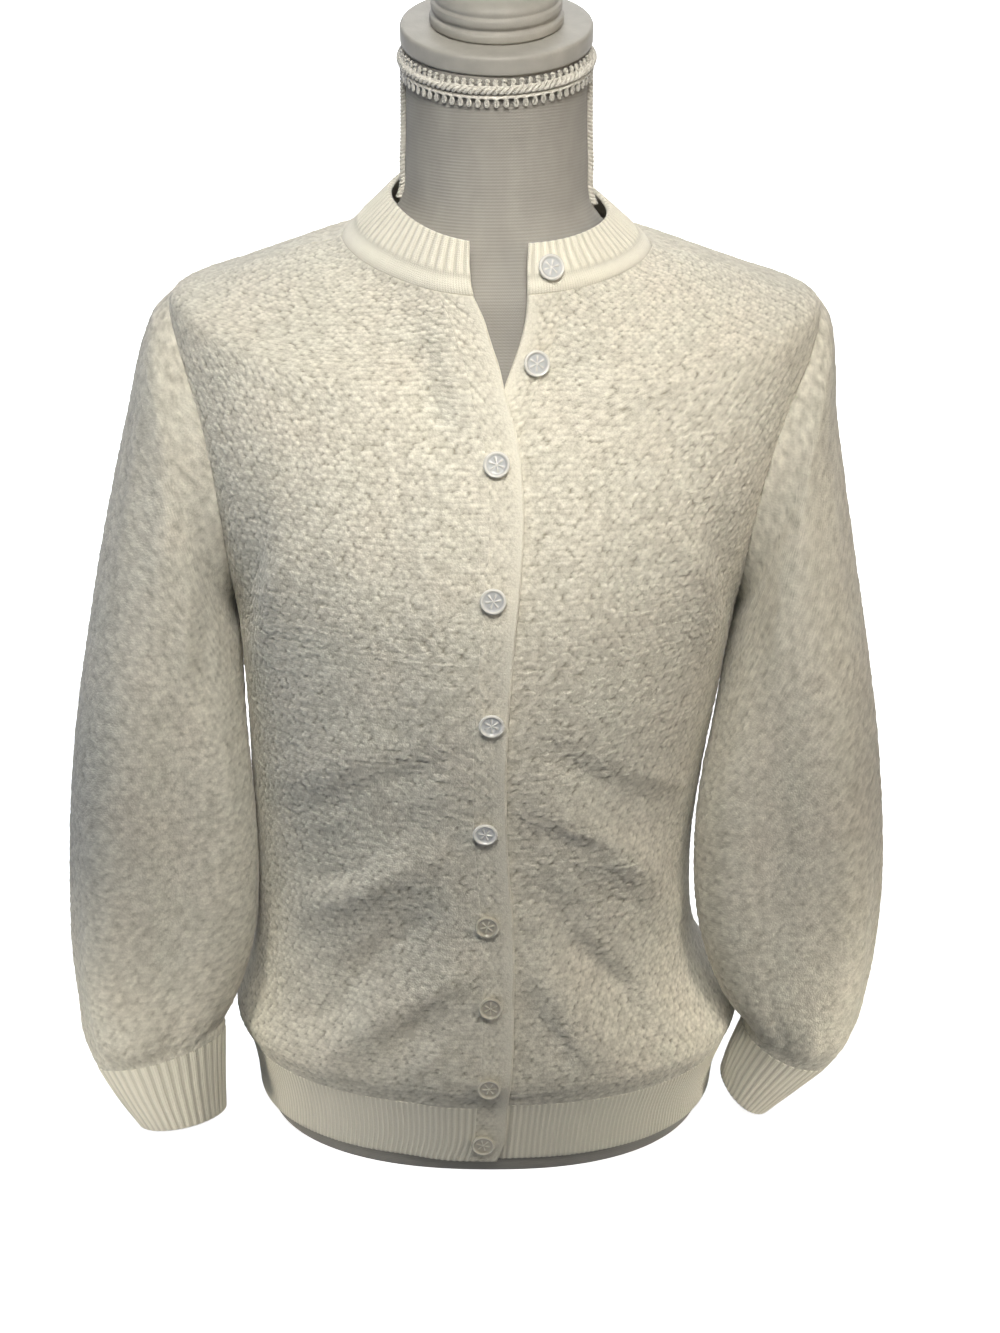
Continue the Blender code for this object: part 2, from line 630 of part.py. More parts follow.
def build_buttons():
    """Round pearly buttons with a raised rim round a shallow dish."""
    profile = np.array(BUTTON_PROFILE) * (BUTTON_RADIUS / MM, BUTTON_HEIGHT / MM)
    pearl = (0.80, 0.80, 0.74)
    for number, (x, z) in enumerate(BUTTON_PLACES, start=1):
        seat, normal = button_seat(x, z, lapped=number > LOOSE_BUTTONS)
        points, faces = turned_mesh(profile, BUTTON_SIDES)
        name = "button_%d" % number
        button = add_mesh(name, points, faces, material(name + "_plastic", pearl, 0.25))
        button.location = seat + normal * BUTTON_REST
        button.rotation_euler = normal.to_track_quat("Z", "Y").to_euler()


# ---- the dress form ---------------------------------------------------------------
def build_form():
    """Padded torso with its neck, closed flat at the base and at the neck's top."""
    levels = [row[0] for row in FORM_RINGS]
    angle = np.arange(FORM_SIDES) * 2 * np.pi / FORM_SIDES
    rings = np.array([ring_point(FORM_RINGS, angle, level) for level in levels])
    index = np.arange(rings.shape[0] * FORM_SIDES).reshape(-1, FORM_SIDES)
    following = np.roll(index, -1, axis=1)
    faces = np.stack([index[:-1], following[:-1], following[1:], index[1:]], axis=-1)
    faces = [tuple(f) for f in faces.reshape(-1, 4)]
    faces += [tuple(index[0][::-1]), tuple(index[-1])]
    cover = material("jersey_cover", (0.78, 0.80, 0.80), 0.85)
    return add_mesh("dress_form", rings.reshape(-1, 3), faces, cover)


def neck_place(height):
    """Point on the sloping axis of the neck, a height in mm above the neck's top."""
    top = ring_values(FORM_RINGS, NECK_TOP_LEVEL)
    middle = (top["front_z"] + top["back_z"]) / 2
    return Vector((NECK_SHIFT * MM, -np.sin(NECK_TILT) * height * MM,
                   (middle + np.cos(NECK_TILT) * height) * MM))


def build_neck_cap():
    """Painted turned wood: a disc on the neck and a grooved knob on the disc."""
    paint = (0.82, 0.83, 0.82)
    thickness = CAP_PROFILE[-1][1]
    lifts = (("neck_cap", CAP_PROFILE, CAP_GAP),
             ("neck_knob", KNOB_PROFILE, 2 * CAP_GAP + thickness))
    for name, profile, lift in lifts:
        points, faces = turned_mesh(profile, CAP_SIDES)
        piece = add_mesh(name, points, faces, material(name + "_paint", paint, 0.4))
        piece.location = neck_place(lift)
        piece.rotation_euler = (NECK_TILT, 0, 0)


def add_braid(name, path, closed):
    """A braid as a round tube along a path of points."""
    spline_data = bpy.data.curves.new(name, "CURVE")
    spline_data.dimensions = "3D"
    spline_data.bevel_depth = BRAID_RADIUS
    spline_data.bevel_resolution = 1
    spline_data.use_fill_caps = not closed
    spline = spline_data.splines.new("POLY")
    spline.points.add(len(path) - 1)
    for point, place in zip(spline.points, path):
        point.co = (*place, 1.0)
    spline.use_cyclic_u = closed
    spline_data.materials.append(material(name + "_satin", (0.80, 0.80, 0.76), 0.35))
    braid = bpy.data.objects.new(name, spline_data)
    bpy.context.scene.collection.objects.link(braid)


def build_braids():
    """Two rows of braid round the top of the neck and one down each side of it."""
    angle = np.arange(FORM_SIDES) * 2 * np.pi / FORM_SIDES
    reach = BRAID_RADIUS + BRAID_REST
    for name, level in (("neck_braid_upper", UPPER_BRAID_LEVEL),
                        ("neck_braid_lower", LOWER_BRAID_LEVEL)):
        ring = ring_point(FORM_RINGS, angle, level)
        add_braid(name, ring + outward(ring, angle) * reach, closed=True)
    for name, side in (("side_braid_right", -1), ("side_braid_left", 1)):
        levels = np.array(SIDE_BRAID_LEVELS, float)
        turn = np.full(levels.shape, side * np.pi / 2)
        line = ring_point(FORM_RINGS, turn, levels)
        slope = np.gradient(line, axis=0)
        away = np.stack([-slope[:, 2], np.zeros(len(line)), slope[:, 0]], axis=-1)
        away /= np.linalg.norm(away, axis=-1, keepdims=True)
        away *= np.where(away[:, :1] * side < 0, -1, 1)
        add_braid(name, line + away * reach, closed=False)


def clear_scene():
    """Start from nothing but the part."""
    for thing in list(bpy.data.objects):
        bpy.data.objects.remove(thing, do_unlink=True)


clear_scene()
build_form()
build_neck_cap()
build_braids()
build_cardigan()
build_buttons()
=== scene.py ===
"""Button cardigan on a table-top dress form: the looks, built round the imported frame.

The sections follow the order in which the real thing is put together: the
dress form, its cap and its braid, then the knitted pieces from the hem to the
neckband, then the buttons, and last the table top, the lights and the camera.
"""

import bpy
import numpy as np
from mathutils import Matrix, Vector


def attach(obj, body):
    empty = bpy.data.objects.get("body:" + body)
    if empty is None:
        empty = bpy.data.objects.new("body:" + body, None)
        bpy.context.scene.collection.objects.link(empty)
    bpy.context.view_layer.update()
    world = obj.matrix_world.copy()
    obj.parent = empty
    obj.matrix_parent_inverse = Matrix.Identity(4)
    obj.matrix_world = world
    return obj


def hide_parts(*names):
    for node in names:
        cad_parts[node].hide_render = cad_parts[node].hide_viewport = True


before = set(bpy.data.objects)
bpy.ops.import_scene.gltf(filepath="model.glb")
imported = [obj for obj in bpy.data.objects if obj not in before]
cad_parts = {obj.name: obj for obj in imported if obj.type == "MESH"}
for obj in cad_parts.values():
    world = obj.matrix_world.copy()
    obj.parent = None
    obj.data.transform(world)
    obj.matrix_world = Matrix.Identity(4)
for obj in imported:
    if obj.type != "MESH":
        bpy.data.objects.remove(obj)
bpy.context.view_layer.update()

MM = 0.001


# ==== Dress form =============================================================
# A small padded torso with no limbs, of moulded foam under a tight cover of
# fine white cotton jersey, pulled down from the neck and tucked under the base.
FORM_COLUMNS = 144
FORM_ROWS = 110
COVER_GIRTH = 2 * np.pi * 118  # mm round the cover, over which its rows of loops are laid
JERSEY_COURSE = 1.8          # mm from one row of loops to the next, drawn coarser than real
JERSEY_WALE = 1.7            # mm from one loop to the next in a row, drawn coarser than real

RING_COLUMNS = ("level", "side_z", "front_z", "back_z", "roll", "half_l", "half_r",
                "mid_y", "front_y", "back_y", "square", "bend")
# Rings of the form in mm: heights at the side, the front and the back, reach to
# each side, to the front and to the back; square is 2 for an ellipse.
FORM_RINGS = (
    (0, 0, 0, 0, 0, 158, 147, 0, -113, 113, 2.3, 1.6),
    (6, 6, 6, 6, 0, 160, 149, 0, -115, 115, 2.3, 1.6),
    (45, 45, 45, 45, 0, 158, 148, 0, -113, 111, 2.3, 1.6),
    (80, 80, 80, 80, 0, 152, 144, 0, -111, 108, 2.3, 1.6),
    (120, 120, 120, 120, 0, 139, 128, 0, -104, 101, 2.25, 1.6),
    (190, 190, 190, 190, 0, 119, 115, 0, -95, 90, 2.2, 1.6),
    (260, 260, 260, 260, 0, 122, 118, 0, -103, 88, 2.2, 1.6),
    (320, 320, 320, 320, 0, 134, 130, 0, -121, 92, 2.2, 1.6),
    (378, 378, 380, 378, 0, 147, 142, 0, -134, 95, 2.2, 1.6),
    (425, 425, 420, 425, 1, 158, 154, 0, -133, 95, 2.2, 1.6),
    (470, 470, 462, 474, 1, 164, 162, 0, -121, 92, 2.25, 1.6),
    (510, 510, 494, 516, 2, 171, 172, 0, -109, 86, 2.3, 1.6),
    (540, 540, 514, 548, 2, 175, 178, 0, -100, 79, 2.3, 1.6),
    (562, 561, 526, 569, 2, 170, 173, 0, -94, 73, 2.3, 1.6),
    (598, 576, 544, 588, 2, 154, 157, -3, -87, 67, 2.25, 1.6),
    (626, 586, 558, 598, 2, 134, 138, -6, -83, 62, 2.2, 1.6),
    (655, 594, 573, 606, 2, 108, 112, -8, -80, 57, 2.15, 1.6),
    (683, 602, 588, 613, 3, 81, 87, -10, -77, 53, 2.1, 1.6),
    (700, 613, 603, 622, 3, 66, 74, -8, -70, 50, 2.1, 1.6),
    (720, 630, 621, 635, 2, 54, 60, -5, -62, 50, 2.05, 1.3),
    (745, 655, 648, 660, 1, 52, 58, -1, -56, 52, 2.0, 1.0),
    (790, 698, 688, 708, 0, 51, 57, 0, -54, 54, 2.0, 1.0),
    (814, 722, 709, 735, 0, 51, 57, 0, -54, 54, 2.0, 1.0),
)


def smooth(table, columns, key, name, at):
    """Cubic curve through one column of a table, read at `at` of its key column.

    Each slope is the mean slope to the two neighbours, as in a Hermite spline.
    """
    keys = np.array([row[columns.index(key)] for row in table], float)
    values = np.array([row[columns.index(name)] for row in table], float)
    slopes = np.gradient(values, keys)
    at = np.clip(np.asarray(at, float), keys[0], keys[-1])
    i = np.clip(np.searchsorted(keys, at, side="right") - 1, 0, len(keys) - 2)
    span = keys[i + 1] - keys[i]
    u = (at - keys[i]) / span
    rise = values[i + 1] - values[i]
    bend_a = slopes[i] * span - rise
    bend_b = rise - slopes[i + 1] * span
    return values[i] + u * rise + u * (1 - u) * ((1 - u) * bend_a + u * bend_b)


def ring_values(table, level):
    """All the columns of a ring table at a level."""
    return {name: smooth(table, RING_COLUMNS, "level", name, level) for name in RING_COLUMNS}


def ring_point(table, angle, level):
    """Point of a squared ellipse: x is the reach times sine to the 2/square, y the
    depth times cosine to the 2/square, z the side height plus the front's or the
    back's rise times cosine to the bend. Angle 0 is the front, +90 degrees +X."""
    ring = ring_values(table, level)
    sine, cosine = np.sin(angle), np.cos(angle)
    power = 2 / ring["square"]
    half = np.where(sine < 0, ring["half_l"], ring["half_r"])
    depth = np.where(cosine > 0, ring["front_y"] - ring["mid_y"], ring["mid_y"] - ring["back_y"])
    x = half * np.sign(sine) * np.abs(sine) ** power
    y = ring["mid_y"] + depth * np.sign(cosine) * np.abs(cosine) ** power
    rise = np.where(cosine > 0, ring["front_z"], ring["back_z"]) - ring["side_z"]
    z = ring["side_z"] + rise * np.abs(cosine) ** ring["bend"] - ring["roll"] * sine
    return np.stack([x, y, z], axis=-1) * MM


def lengths(points, axis):
    """Running length along rows or columns of a grid of points, in mm from its start."""
    steps = np.linalg.norm(np.diff(points, axis=axis), axis=-1) / MM
    start = np.zeros_like(np.take(steps, [0], axis=axis))
    return np.cumsum(np.concatenate([start, steps], axis=axis), axis=axis)


def grid_quads(rows, columns, closed):
    """Index quads of a grid, (row, column) to (row, column + 1) first, and for a
    closed grid the same quads with their last column numbered one past the end."""
    index = np.arange(rows * columns).reshape(rows, columns)
    count = columns + 1 if closed else columns
    if closed:
        index = np.concatenate([index, index[:, :1]], axis=1)
    place = np.arange(rows * count).reshape(rows, count)
    return [np.stack([g[:-1, :-1], g[:-1, 1:], g[1:, 1:], g[1:, :-1]], axis=-1).reshape(-1, 4)
            for g in (index, place)]


def make_piece(name, points, faces, finish, corner_uv=None, relief=None):
    """A smooth-shaded mesh object at the origin; corner_uv holds one pair of mm for each
    face corner, relief one value from 0 to 1 for each point: a height, or on a button a painted
    highlight mask."""
    mesh = bpy.data.meshes.new(name)
    mesh.from_pydata(np.asarray(points).reshape(-1, 3).tolist(), [], faces)
    if corner_uv is not None:
        layer = mesh.uv_layers.new(name="cloth")
        layer.data.foreach_set("uv", np.asarray(corner_uv, np.float32).ravel())
    if relief is not None:
        layer = mesh.attributes.new("relief", "FLOAT", "POINT")
        layer.data.foreach_set("value", np.asarray(relief, np.float32).ravel())
    mesh.validate(clean_customdata=False)
    mesh.shade_smooth()
    mesh.materials.append(finish)
    piece = bpy.data.objects.new(name, mesh)
    bpy.context.scene.collection.objects.link(piece)
    return piece


def stand_for(piece, node):
    """The piece rides on the one body and stands for a node of the frame."""
    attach(piece, "root")
    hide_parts(node)


def srgb(code):
    """Linear RGBA of a colour written as six sRGB hex digits."""
    part = np.array([int(code[i:i + 2], 16) for i in (1, 3, 5)]) / 255
    linear = np.where(part <= 0.04045, part / 12.92, ((part + 0.055) / 1.055) ** 2.4)
    return (*[float(c) for c in linear], 1.0)


def new_material(name, **sockets):
    """A material whose Principled shader has the named sockets set; an underscore
    in a name stands for a space. Returns the material, its tree and its shader."""
    finish = bpy.data.materials.new(name)
    finish.use_nodes = True
    tree = finish.node_tree
    shader = tree.nodes["Principled BSDF"]
    for socket, value in sockets.items():
        shader.inputs[socket.replace("_", " ")].default_value = value
    return finish, tree, shader


def add_node(tree, kind, links=None, **settings):
    """Add one shader node. Settings are its properties; links gives its inputs, by
    name or number, either a value or another node's output."""
    node = tree.nodes.new("ShaderNode" + kind)
    for name, value in settings.items():
        setattr(node, name, value)
    for key, value in (links or {}).items():
        if isinstance(value, bpy.types.NodeSocket):
            tree.links.new(value, node.inputs[key])
        else:
            node.inputs[key].default_value = value
    return node


def maths(tree, operation, *values):
    """Output of one Math node on up to three values."""
    return add_node(tree, "Math", dict(enumerate(values)), operation=operation).outputs[0]


def blend_colours(tree, factor, low, high):
    """Output of one Mix node between two colours."""
    mix = add_node(tree, "Mix", {0: factor, 6: low, 7: high}, data_type="RGBA")
    return mix.outputs[2]


def wave(tree, value, pitch):
    """Cosine of a length in mm that repeats every pitch, from -1 to 1."""
    return maths(tree, "COSINE", maths(tree, "MULTIPLY", value, 2 * np.pi / pitch))


def cloth_axes(tree):
    """The cloth's own two lengths in mm, across and along, and the pair of them."""
    pair = add_node(tree, "UVMap", uv_map="cloth").outputs["UV"]
    split = add_node(tree, "SeparateXYZ", {0: pair})
    return split.outputs[0], split.outputs[1], pair


def bump_into(tree, shader, height, depth):
    """Join a height from 0 to 1 to the shader's normal, depth in mm at its full."""
    bump = add_node(tree, "Bump", {"Strength": 1.0, "Distance": depth * MM, "Height": height})
    tree.links.new(bump.outputs[0], shader.inputs["Normal"])


def jersey_material():
    """White cotton jersey, circular knitted: the eye gets fine level rows of loops,
    a dull chalky surface and a faint cloudiness from the padding underneath."""
    finish, tree, shader = new_material("cotton_jersey", Roughness=0.88, Sheen_Weight=0.15,
                                        Sheen_Roughness=0.5, Specular_IOR_Level=0.25)
    across, along, pair = cloth_axes(tree)
    course = wave(tree, along, JERSEY_COURSE)
    loop = maths(tree, "MULTIPLY_ADD", wave(tree, across, JERSEY_WALE), 0.35, 0.65)
    row = maths(tree, "MULTIPLY_ADD", maths(tree, "MULTIPLY", course, loop), 0.5, 0.5)
    cloud = add_node(tree, "TexNoise", {"Vector": pair, "Scale": 1 / 26, "Detail": 3.0})
    shade = maths(tree, "MULTIPLY_ADD", cloud.outputs[0], 0.5,
                  maths(tree, "MULTIPLY", row, 0.25))
    # Painted shade: the white jersey is drawn mid grey for the shade the neck lies in, and a little
    # darker between its rows of loops.
    tint = blend_colours(tree, shade, srgb("#8F8C86"), srgb("#B8B5AE"))
    tree.links.new(tint, shader.inputs["Base Color"])
    bump_into(tree, shader, row, 0.16)
    return finish


def form_cover():
    """The form's skin: rings from the base to the neck's top, closed at both ends."""
    levels = np.concatenate([[0, 1.5, 3, 4.5], np.linspace(6, 811.5, FORM_ROWS), [813, 814]])
    angle = np.pi + np.arange(FORM_COLUMNS) * 2 * np.pi / FORM_COLUMNS
    points = ring_point(FORM_RINGS, angle[None], levels[:, None])
    rows, columns = points.shape[:2]
    quads, places = grid_quads(rows, columns, True)
    girth = np.linspace(0, COVER_GIRTH, columns + 1)
    up = points[..., 2] / MM
    up = np.concatenate([up, up[:, :1]], axis=1)
    uv = np.stack([np.broadcast_to(girth, up.shape), up], axis=-1).reshape(-1, 2)
    ends = [list(range(columns))[::-1], list(range((rows - 1) * columns, rows * columns))]
    corner_uv = np.concatenate([uv[places.ravel()], np.zeros((2 * columns, 2))])
    piece = make_piece("jersey_cover", points, quads.tolist() + ends, jersey_material(), corner_uv)
    stand_for(piece, "dress_form")


form_cover()


# ==== Neck cap and knob ======================================================
# Two turned pieces of beech, screwed down on the neck through the cover and
# sprayed white: a plain thick disc and a smaller knob with turned rings.
NECK_CUT_LEVEL = 814          # the neck is cut here, sloping to the front
NECK_SHIFT = 3                # mm to +X
CAP_GAP = 0.4                 # mm between neck, cap and knob
TURN_STEPS = 96
# radius and height in mm, from the middle of the underside to the middle of the top
DISC_PROFILE = ((0, 0), (30, 0), (55.6, 0), (56.6, 0.4), (57, 1.4), (57, 4), (57, 7.5), (57, 9.6),
                (56.5, 10.8), (55.2, 11.5), (50, 11.5), (30, 11.5), (0, 11.5))
KNOB_PROFILE = ((0, 0), (20, 0), (38.3, 0), (39.2, 0.5), (39.5, 1.6), (39.5, 4.2), (39.2, 5.2),
                (38.2, 5.9), (37.3, 6.1), (36.9, 6.9), (37.0, 7.9), (37.8, 8.3), (38.5, 9.2),
                (38.7, 10.8), (38.5, 12.6), (37.9, 13.6), (36.8, 14.0), (36.5, 14.7),
                (36.6, 15.4), (36.9, 16.2), (36.2, 18.0), (34.2, 20.2), (31, 22.2), (25, 24.6),
                (18, 26.3), (9, 27.6), (0, 28))


def neck_matrix(height):
    """Where a turned piece stands, a height in mm up the sloping axis of the neck.
    The slope is the rise of the cut from front to back over its depth."""
    top = ring_values(FORM_RINGS, NECK_CUT_LEVEL)
    tilt = np.arctan2(top["back_z"] - top["front_z"], top["back_y"] - top["front_y"])
    middle = (top["front_z"] + top["back_z"]) / 2
    place = Vector((NECK_SHIFT, -np.sin(tilt) * height, middle + np.cos(tilt) * height))
    return Matrix.Translation(place * MM) @ Matrix.Rotation(tilt, 4, "X")


def turned_faces(rows, steps):
    """Faces of rings of points, with a fan of triangles from each end ring to its
    pole. The poles are the two points after the rings, the first ring's one first."""
    quads, _ = grid_quads(rows, steps, True)
    first = np.arange(steps)
    after = np.roll(first, -1)
    last = (rows - 1) * steps
    pole = 0 * first + rows * steps
    low = np.stack([after, first, pole], axis=-1)
    high = np.stack([first + last, after + last, pole + 1], axis=-1)
    return quads.tolist() + low.tolist() + high.tolist()


def turned_piece(name, profile, matrix, finish):
    """A profile carried round the Z axis: radius times cosine, radius times sine,
    height."""
    profile = np.array(profile, float) * MM
    angle = np.arange(TURN_STEPS) * 2 * np.pi / TURN_STEPS
    side = profile[1:-1]
    ring = np.stack([np.cos(angle), np.sin(angle), 0 * angle], axis=-1)
    points = side[:, None, :1] * ring[None] + side[:, None, 1:] * np.array([0, 0, 1])
    poles = np.array([[0, 0, profile[0, 1]], [0, 0, profile[-1, 1]]])
    points = np.concatenate([points.reshape(-1, 3), poles])
    piece = make_piece(name, points, turned_faces(len(side), TURN_STEPS), finish)
    piece.data.transform(matrix)
    return piece


def painted_beech():
    """Turned beech under sprayed white eggshell: smooth, with a soft gloss, a faint
    unevenness of colour and the fine grit of the spray."""
    finish, tree, shader = new_material("white_eggshell_on_beech", Roughness=0.48,
                                        Specular_IOR_Level=0.4)
    place = add_node(tree, "TexCoord").outputs["Object"]
    grain = add_node(tree, "TexNoise", {"Vector": place, "Scale": 1 / 0.012, "Detail": 4.0})
    speck = add_node(tree, "TexNoise", {"Vector": place, "Scale": 1 / 0.0011, "Detail": 2.0})
    # Painted shade: the white paint is drawn mid grey for the shade the cap and knob lie in.
    tint = blend_colours(tree, grain.outputs[0], srgb("#9F9C95"), srgb("#BDBAB2"))
    tree.links.new(tint, shader.inputs["Base Color"])
    bump_into(tree, shader, speck.outputs[0], 0.12)
    return finish


wood_paint = painted_beech()
disc_height = DISC_PROFILE[-1][1]
for cap_name, cap_node, cap_profile, cap_lift in (
        ("cap_disc", "neck_cap", DISC_PROFILE, CAP_GAP),
        ("cap_knob", "neck_knob", KNOB_PROFILE, 2 * CAP_GAP + disc_height)):
    cap = turned_piece(cap_name, cap_profile, neck_matrix(cap_lift), wood_paint)
    stand_for(cap, cap_node)


# ==== Gimp braid =============================================================
# Silvery satin gimp, glued round the top of the neck and down both its sides:
# a twisted cord with a row of small loops beside it.
GIMP_REACH = 3.1              # mm from the neck out to the middle of the cords
UPPER_GIMP_LEVEL = 805.5
LOWER_GIMP_LEVEL = 801.3
SIDE_GIMP_TOP, SIDE_GIMP_END = 800, 718
NECK_STEPS, SIDE_STEPS = 756, 260
STRAND_SIDES = 7
STRAND_GUIDE = (0.13, 0.21, 0.97)    # a direction that no strand runs along, to start its rings
LOOP_LEAN = 0.42              # how far a loop leans along its edge, in loops
LOOP_OVER = 0.35              # mm that a loop rises over the next one


def outward(angle):
    """Level unit direction away from the body's middle line."""
    return np.stack([np.sin(angle), -np.cos(angle), np.zeros_like(angle)], axis=-1)


def unit(vectors):
    """Each vector over its length."""
    return vectors / np.maximum(np.linalg.norm(vectors, axis=-1, keepdims=True), 1e-12)


def strand_tube(path, radius, closed, start):
    """A round tube along a path: at each point a ring of the radius, square to the
    way the path runs. Returns its points and faces, numbered on from start."""
    ahead = unit(np.roll(path, -1, axis=0) - np.roll(path, 1, axis=0)) if closed \
        else unit(np.gradient(path, axis=0))
    side = unit(np.cross(ahead, np.array(STRAND_GUIDE)))
    up = np.cross(side, ahead)
    turn = np.arange(STRAND_SIDES) * 2 * np.pi / STRAND_SIDES
    ring = side[:, None] * np.cos(turn)[:, None] + up[:, None] * np.sin(turn)[:, None]
    points = path[:, None] + ring * radius
    index = np.arange(len(path) * STRAND_SIDES).reshape(len(path), STRAND_SIDES)
    if closed:
        index = np.concatenate([index, index[:1]])
    near, far = index[:-1], index[1:]
    quads = np.stack([near, np.roll(near, -1, axis=1), np.roll(far, -1, axis=1), far], axis=-1)
    faces = (quads.reshape(-1, 4)[:, ::-1] + start).tolist()
    if not closed:
        faces += [(index[0] + start).tolist(), (index[-1][::-1] + start).tolist()]
    return points.reshape(-1, 3), faces


def braid_piece(name, node, strands, closed):
    """One braid: all its strands as tubes in a single mesh."""
    points, faces = [], []
    for path, radius in strands:
        tube_points, tube_faces = strand_tube(path, radius * MM, closed, sum(map(len, points)))
        points.append(tube_points)
        faces += tube_faces
    piece = make_piece(name, np.concatenate(points), faces, braid_satin)
    stand_for(piece, node)
    return piece


def neck_line(level):
    """Closed line round the neck at a level, with its outward and upward ways."""
    angle = np.pi + np.arange(NECK_STEPS) * 2 * np.pi / NECK_STEPS
    line = ring_point(FORM_RINGS, angle, level)
    out = outward(angle)
    ahead = unit(np.roll(line, -1, axis=0) - np.roll(line, 1, axis=0))
    up = unit(np.cross(ahead, out))
    return line, out, up * np.sign(up[:, 2:])


def twisted_cord(line, out, up, turns, strands, radius, reach):
    """Strands wound round a line: each is the line plus the radius times cosine
    along `out` and sine along `up`, a whole number of turns, evenly spread."""
    along = np.linspace(0, 1, len(line))[:, None]
    paths = []
    for strand in range(strands):
        turn = 2 * np.pi * (turns * along + strand / strands)
        paths.append(line + out * (reach + radius * np.cos(turn)) * MM
                     + up * radius * np.sin(turn) * MM)
    return paths


def looped_edge(line, out, up, loops, height, reach, way):
    """A cord laid in loops: it swings along the line by a sine and away from the
    line by one less cosine, so that each loop leans over the next."""
    count = len(line)
    phase = 2 * np.pi * loops * np.arange(count) / count
    shift = LOOP_LEAN * np.sin(phase) / loops * count
    place = (np.arange(count) + shift) % count
    low = np.floor(place).astype(int)
    part = (place - low)[:, None]
    follow = line[low % count] * (1 - part) + line[(low + 1) % count] * part
    swing = (height * (1 - np.cos(phase)) / 2)[:, None]
    return follow + up * way * swing * MM + out * (reach + LOOP_OVER * np.cos(phase))[:, None] * MM


def satin_gimp():
    """Viscose satin cord over a cotton core: silvery white, a bright streaky gloss
    along each strand and grey shade where the strands meet."""
    finish, tree, shader = new_material("viscose_satin_cord", Roughness=0.34, Sheen_Weight=0.3,
                                        Specular_IOR_Level=0.6)
    place = add_node(tree, "TexCoord").outputs["Object"]
    fibre = add_node(tree, "TexNoise", {"Vector": place, "Scale": 1 / 0.0016, "Detail": 2.0})
    tint = blend_colours(tree, fibre.outputs[0], srgb("#B9B5AA"), srgb("#F3F0E8"))
    tree.links.new(tint, shader.inputs["Base Color"])
    bump_into(tree, shader, fibre.outputs[0], 0.15)
    return finish


braid_satin = satin_gimp()
upper_line, upper_out, upper_up = neck_line(UPPER_GIMP_LEVEL)
upper_strands = [(path, 1.2) for path in twisted_cord(
    upper_line, upper_out, upper_up, turns=50, strands=2, radius=1.25, reach=GIMP_REACH)]
upper_strands.append((looped_edge(
    upper_line + upper_up * 1.6 * MM, upper_out, upper_up, loops=72, height=4.2,
    reach=GIMP_REACH - 1.0, way=1), 0.9))
braid_piece("neck_gimp_upper", "neck_braid_upper", upper_strands, closed=True)
lower_line, lower_out, lower_up = neck_line(LOWER_GIMP_LEVEL)
lower_strands = [
    (looped_edge(lower_line, lower_out, lower_up, loops=66, height=5.4,
                 reach=GIMP_REACH - 0.4, way=-1), 0.85),
    (lower_line + lower_out * (GIMP_REACH - 0.9) * MM, 1.0)]
braid_piece("neck_gimp_lower", "neck_braid_lower", lower_strands, closed=True)
for braid_side, braid_node in ((-1, "side_braid_right"), (1, "side_braid_left")):
    side_levels = np.linspace(SIDE_GIMP_TOP, SIDE_GIMP_END, SIDE_STEPS)
    side_angle = np.full(SIDE_STEPS, braid_side * np.pi / 2)
    side_line = ring_point(FORM_RINGS, side_angle, side_levels)
    side_slope = np.gradient(side_line, axis=0)
    side_out = unit(np.stack([-side_slope[:, 2], 0 * side_levels, side_slope[:, 0]], axis=-1))
    side_out *= np.where(side_out[:, :1] * braid_side < 0, -1, 1)
    side_across = np.broadcast_to(np.array([0.0, 1.0, 0.0]), side_line.shape)
    side_strands = [(path, 1.1) for path in twisted_cord(
        side_line, side_out, side_across, turns=18, strands=2, radius=1.2, reach=1.5)]
    braid_piece(braid_node + "_gimp", braid_node, side_strands, closed=False)


# ==== Fronts =================================================================
# Two front panels of bubbly tuck-stitch knit in cream acrylic and wool yarn,
# shaped at the armhole and the neck, linked to the bands, side seams and sleeves.
FRONT_WIDTH = 222             # mm round a front from its band to its side seam
WALL = 2.5                    # mm, thickness of the knitted cloth
PLACKET_WIDTH = 20.0          # mm, width of each front band
OVERLAP_LIFT = 3.6            # mm the lapped front rides above the other
LIFT_FROM, LIFT_FULL = -62.0, -24.0     # mm to the side, where it starts to rise and is up
HEM_LEVEL, RIB_TOP_LEVEL, ARMPIT_LEVEL, SHOULDER_LEVEL = 12, 58, 378, 570
NECK_LEVEL, NECK_TOP = 683, 720
ARMHOLE_MIDDLE = (ARMPIT_LEVEL + SHOULDER_LEVEL) / 2
ARMHOLE_HALF_HEIGHT = (SHOULDER_LEVEL - ARMPIT_LEVEL) / 2
ARMHOLE_HALF_WIDTH = 62
SEAM_ROUND = 0.3              # mm, how far an edge rounds off at a seam
FREE_ROUND = 1.3              # mm, and at a free edge
LINK_ROUND = 0.1              # mm, and where a band is linked to its front
INNER_STEP = 10               # the inner face keeps every tenth row and column
FRONT_STEP, FRONT_ROW = 1.6, 1.28       # mm between columns and rows of the fine outer face
# The bumps are drawn coarser than the real ones, which are about 3.7 by 2.8 mm.
BUBBLE_WIDTH = 4.4            # mm between bumps in a row
BUBBLE_ROW = 3.2              # mm between rows, each set half a bump along
BUBBLE_HEIGHT = 1.5           # mm from the top of a bump down into a pit
DOME_HALF = 0.6, 0.7          # half of a dome's width and height, in bumps and in rows
DOME_SIZE, DOME_VARIES = 0.8, 0.22      # mean height of a dome and how much it varies
DOME_SHIFT = 0.2              # how far a dome lies off its place, in bumps and in rows
ROW_DRIFT = (1.2, 26), (1.0, 24)        # how far rows stray across and along, over what pitch, mm
SMOOTH_RELIEF = 0.8           # height of the cloth where it has no bumps
BAND_BUBBLES = {-1: 0.8, 1: 0.95}      # how full the bumps are where each band is linked on
BAND_FADE = 20                # mm over which the bumps of a front grow full from its band
NET_ROWS, NET_COLUMNS = 113, 109        # cells after which a random net repeats

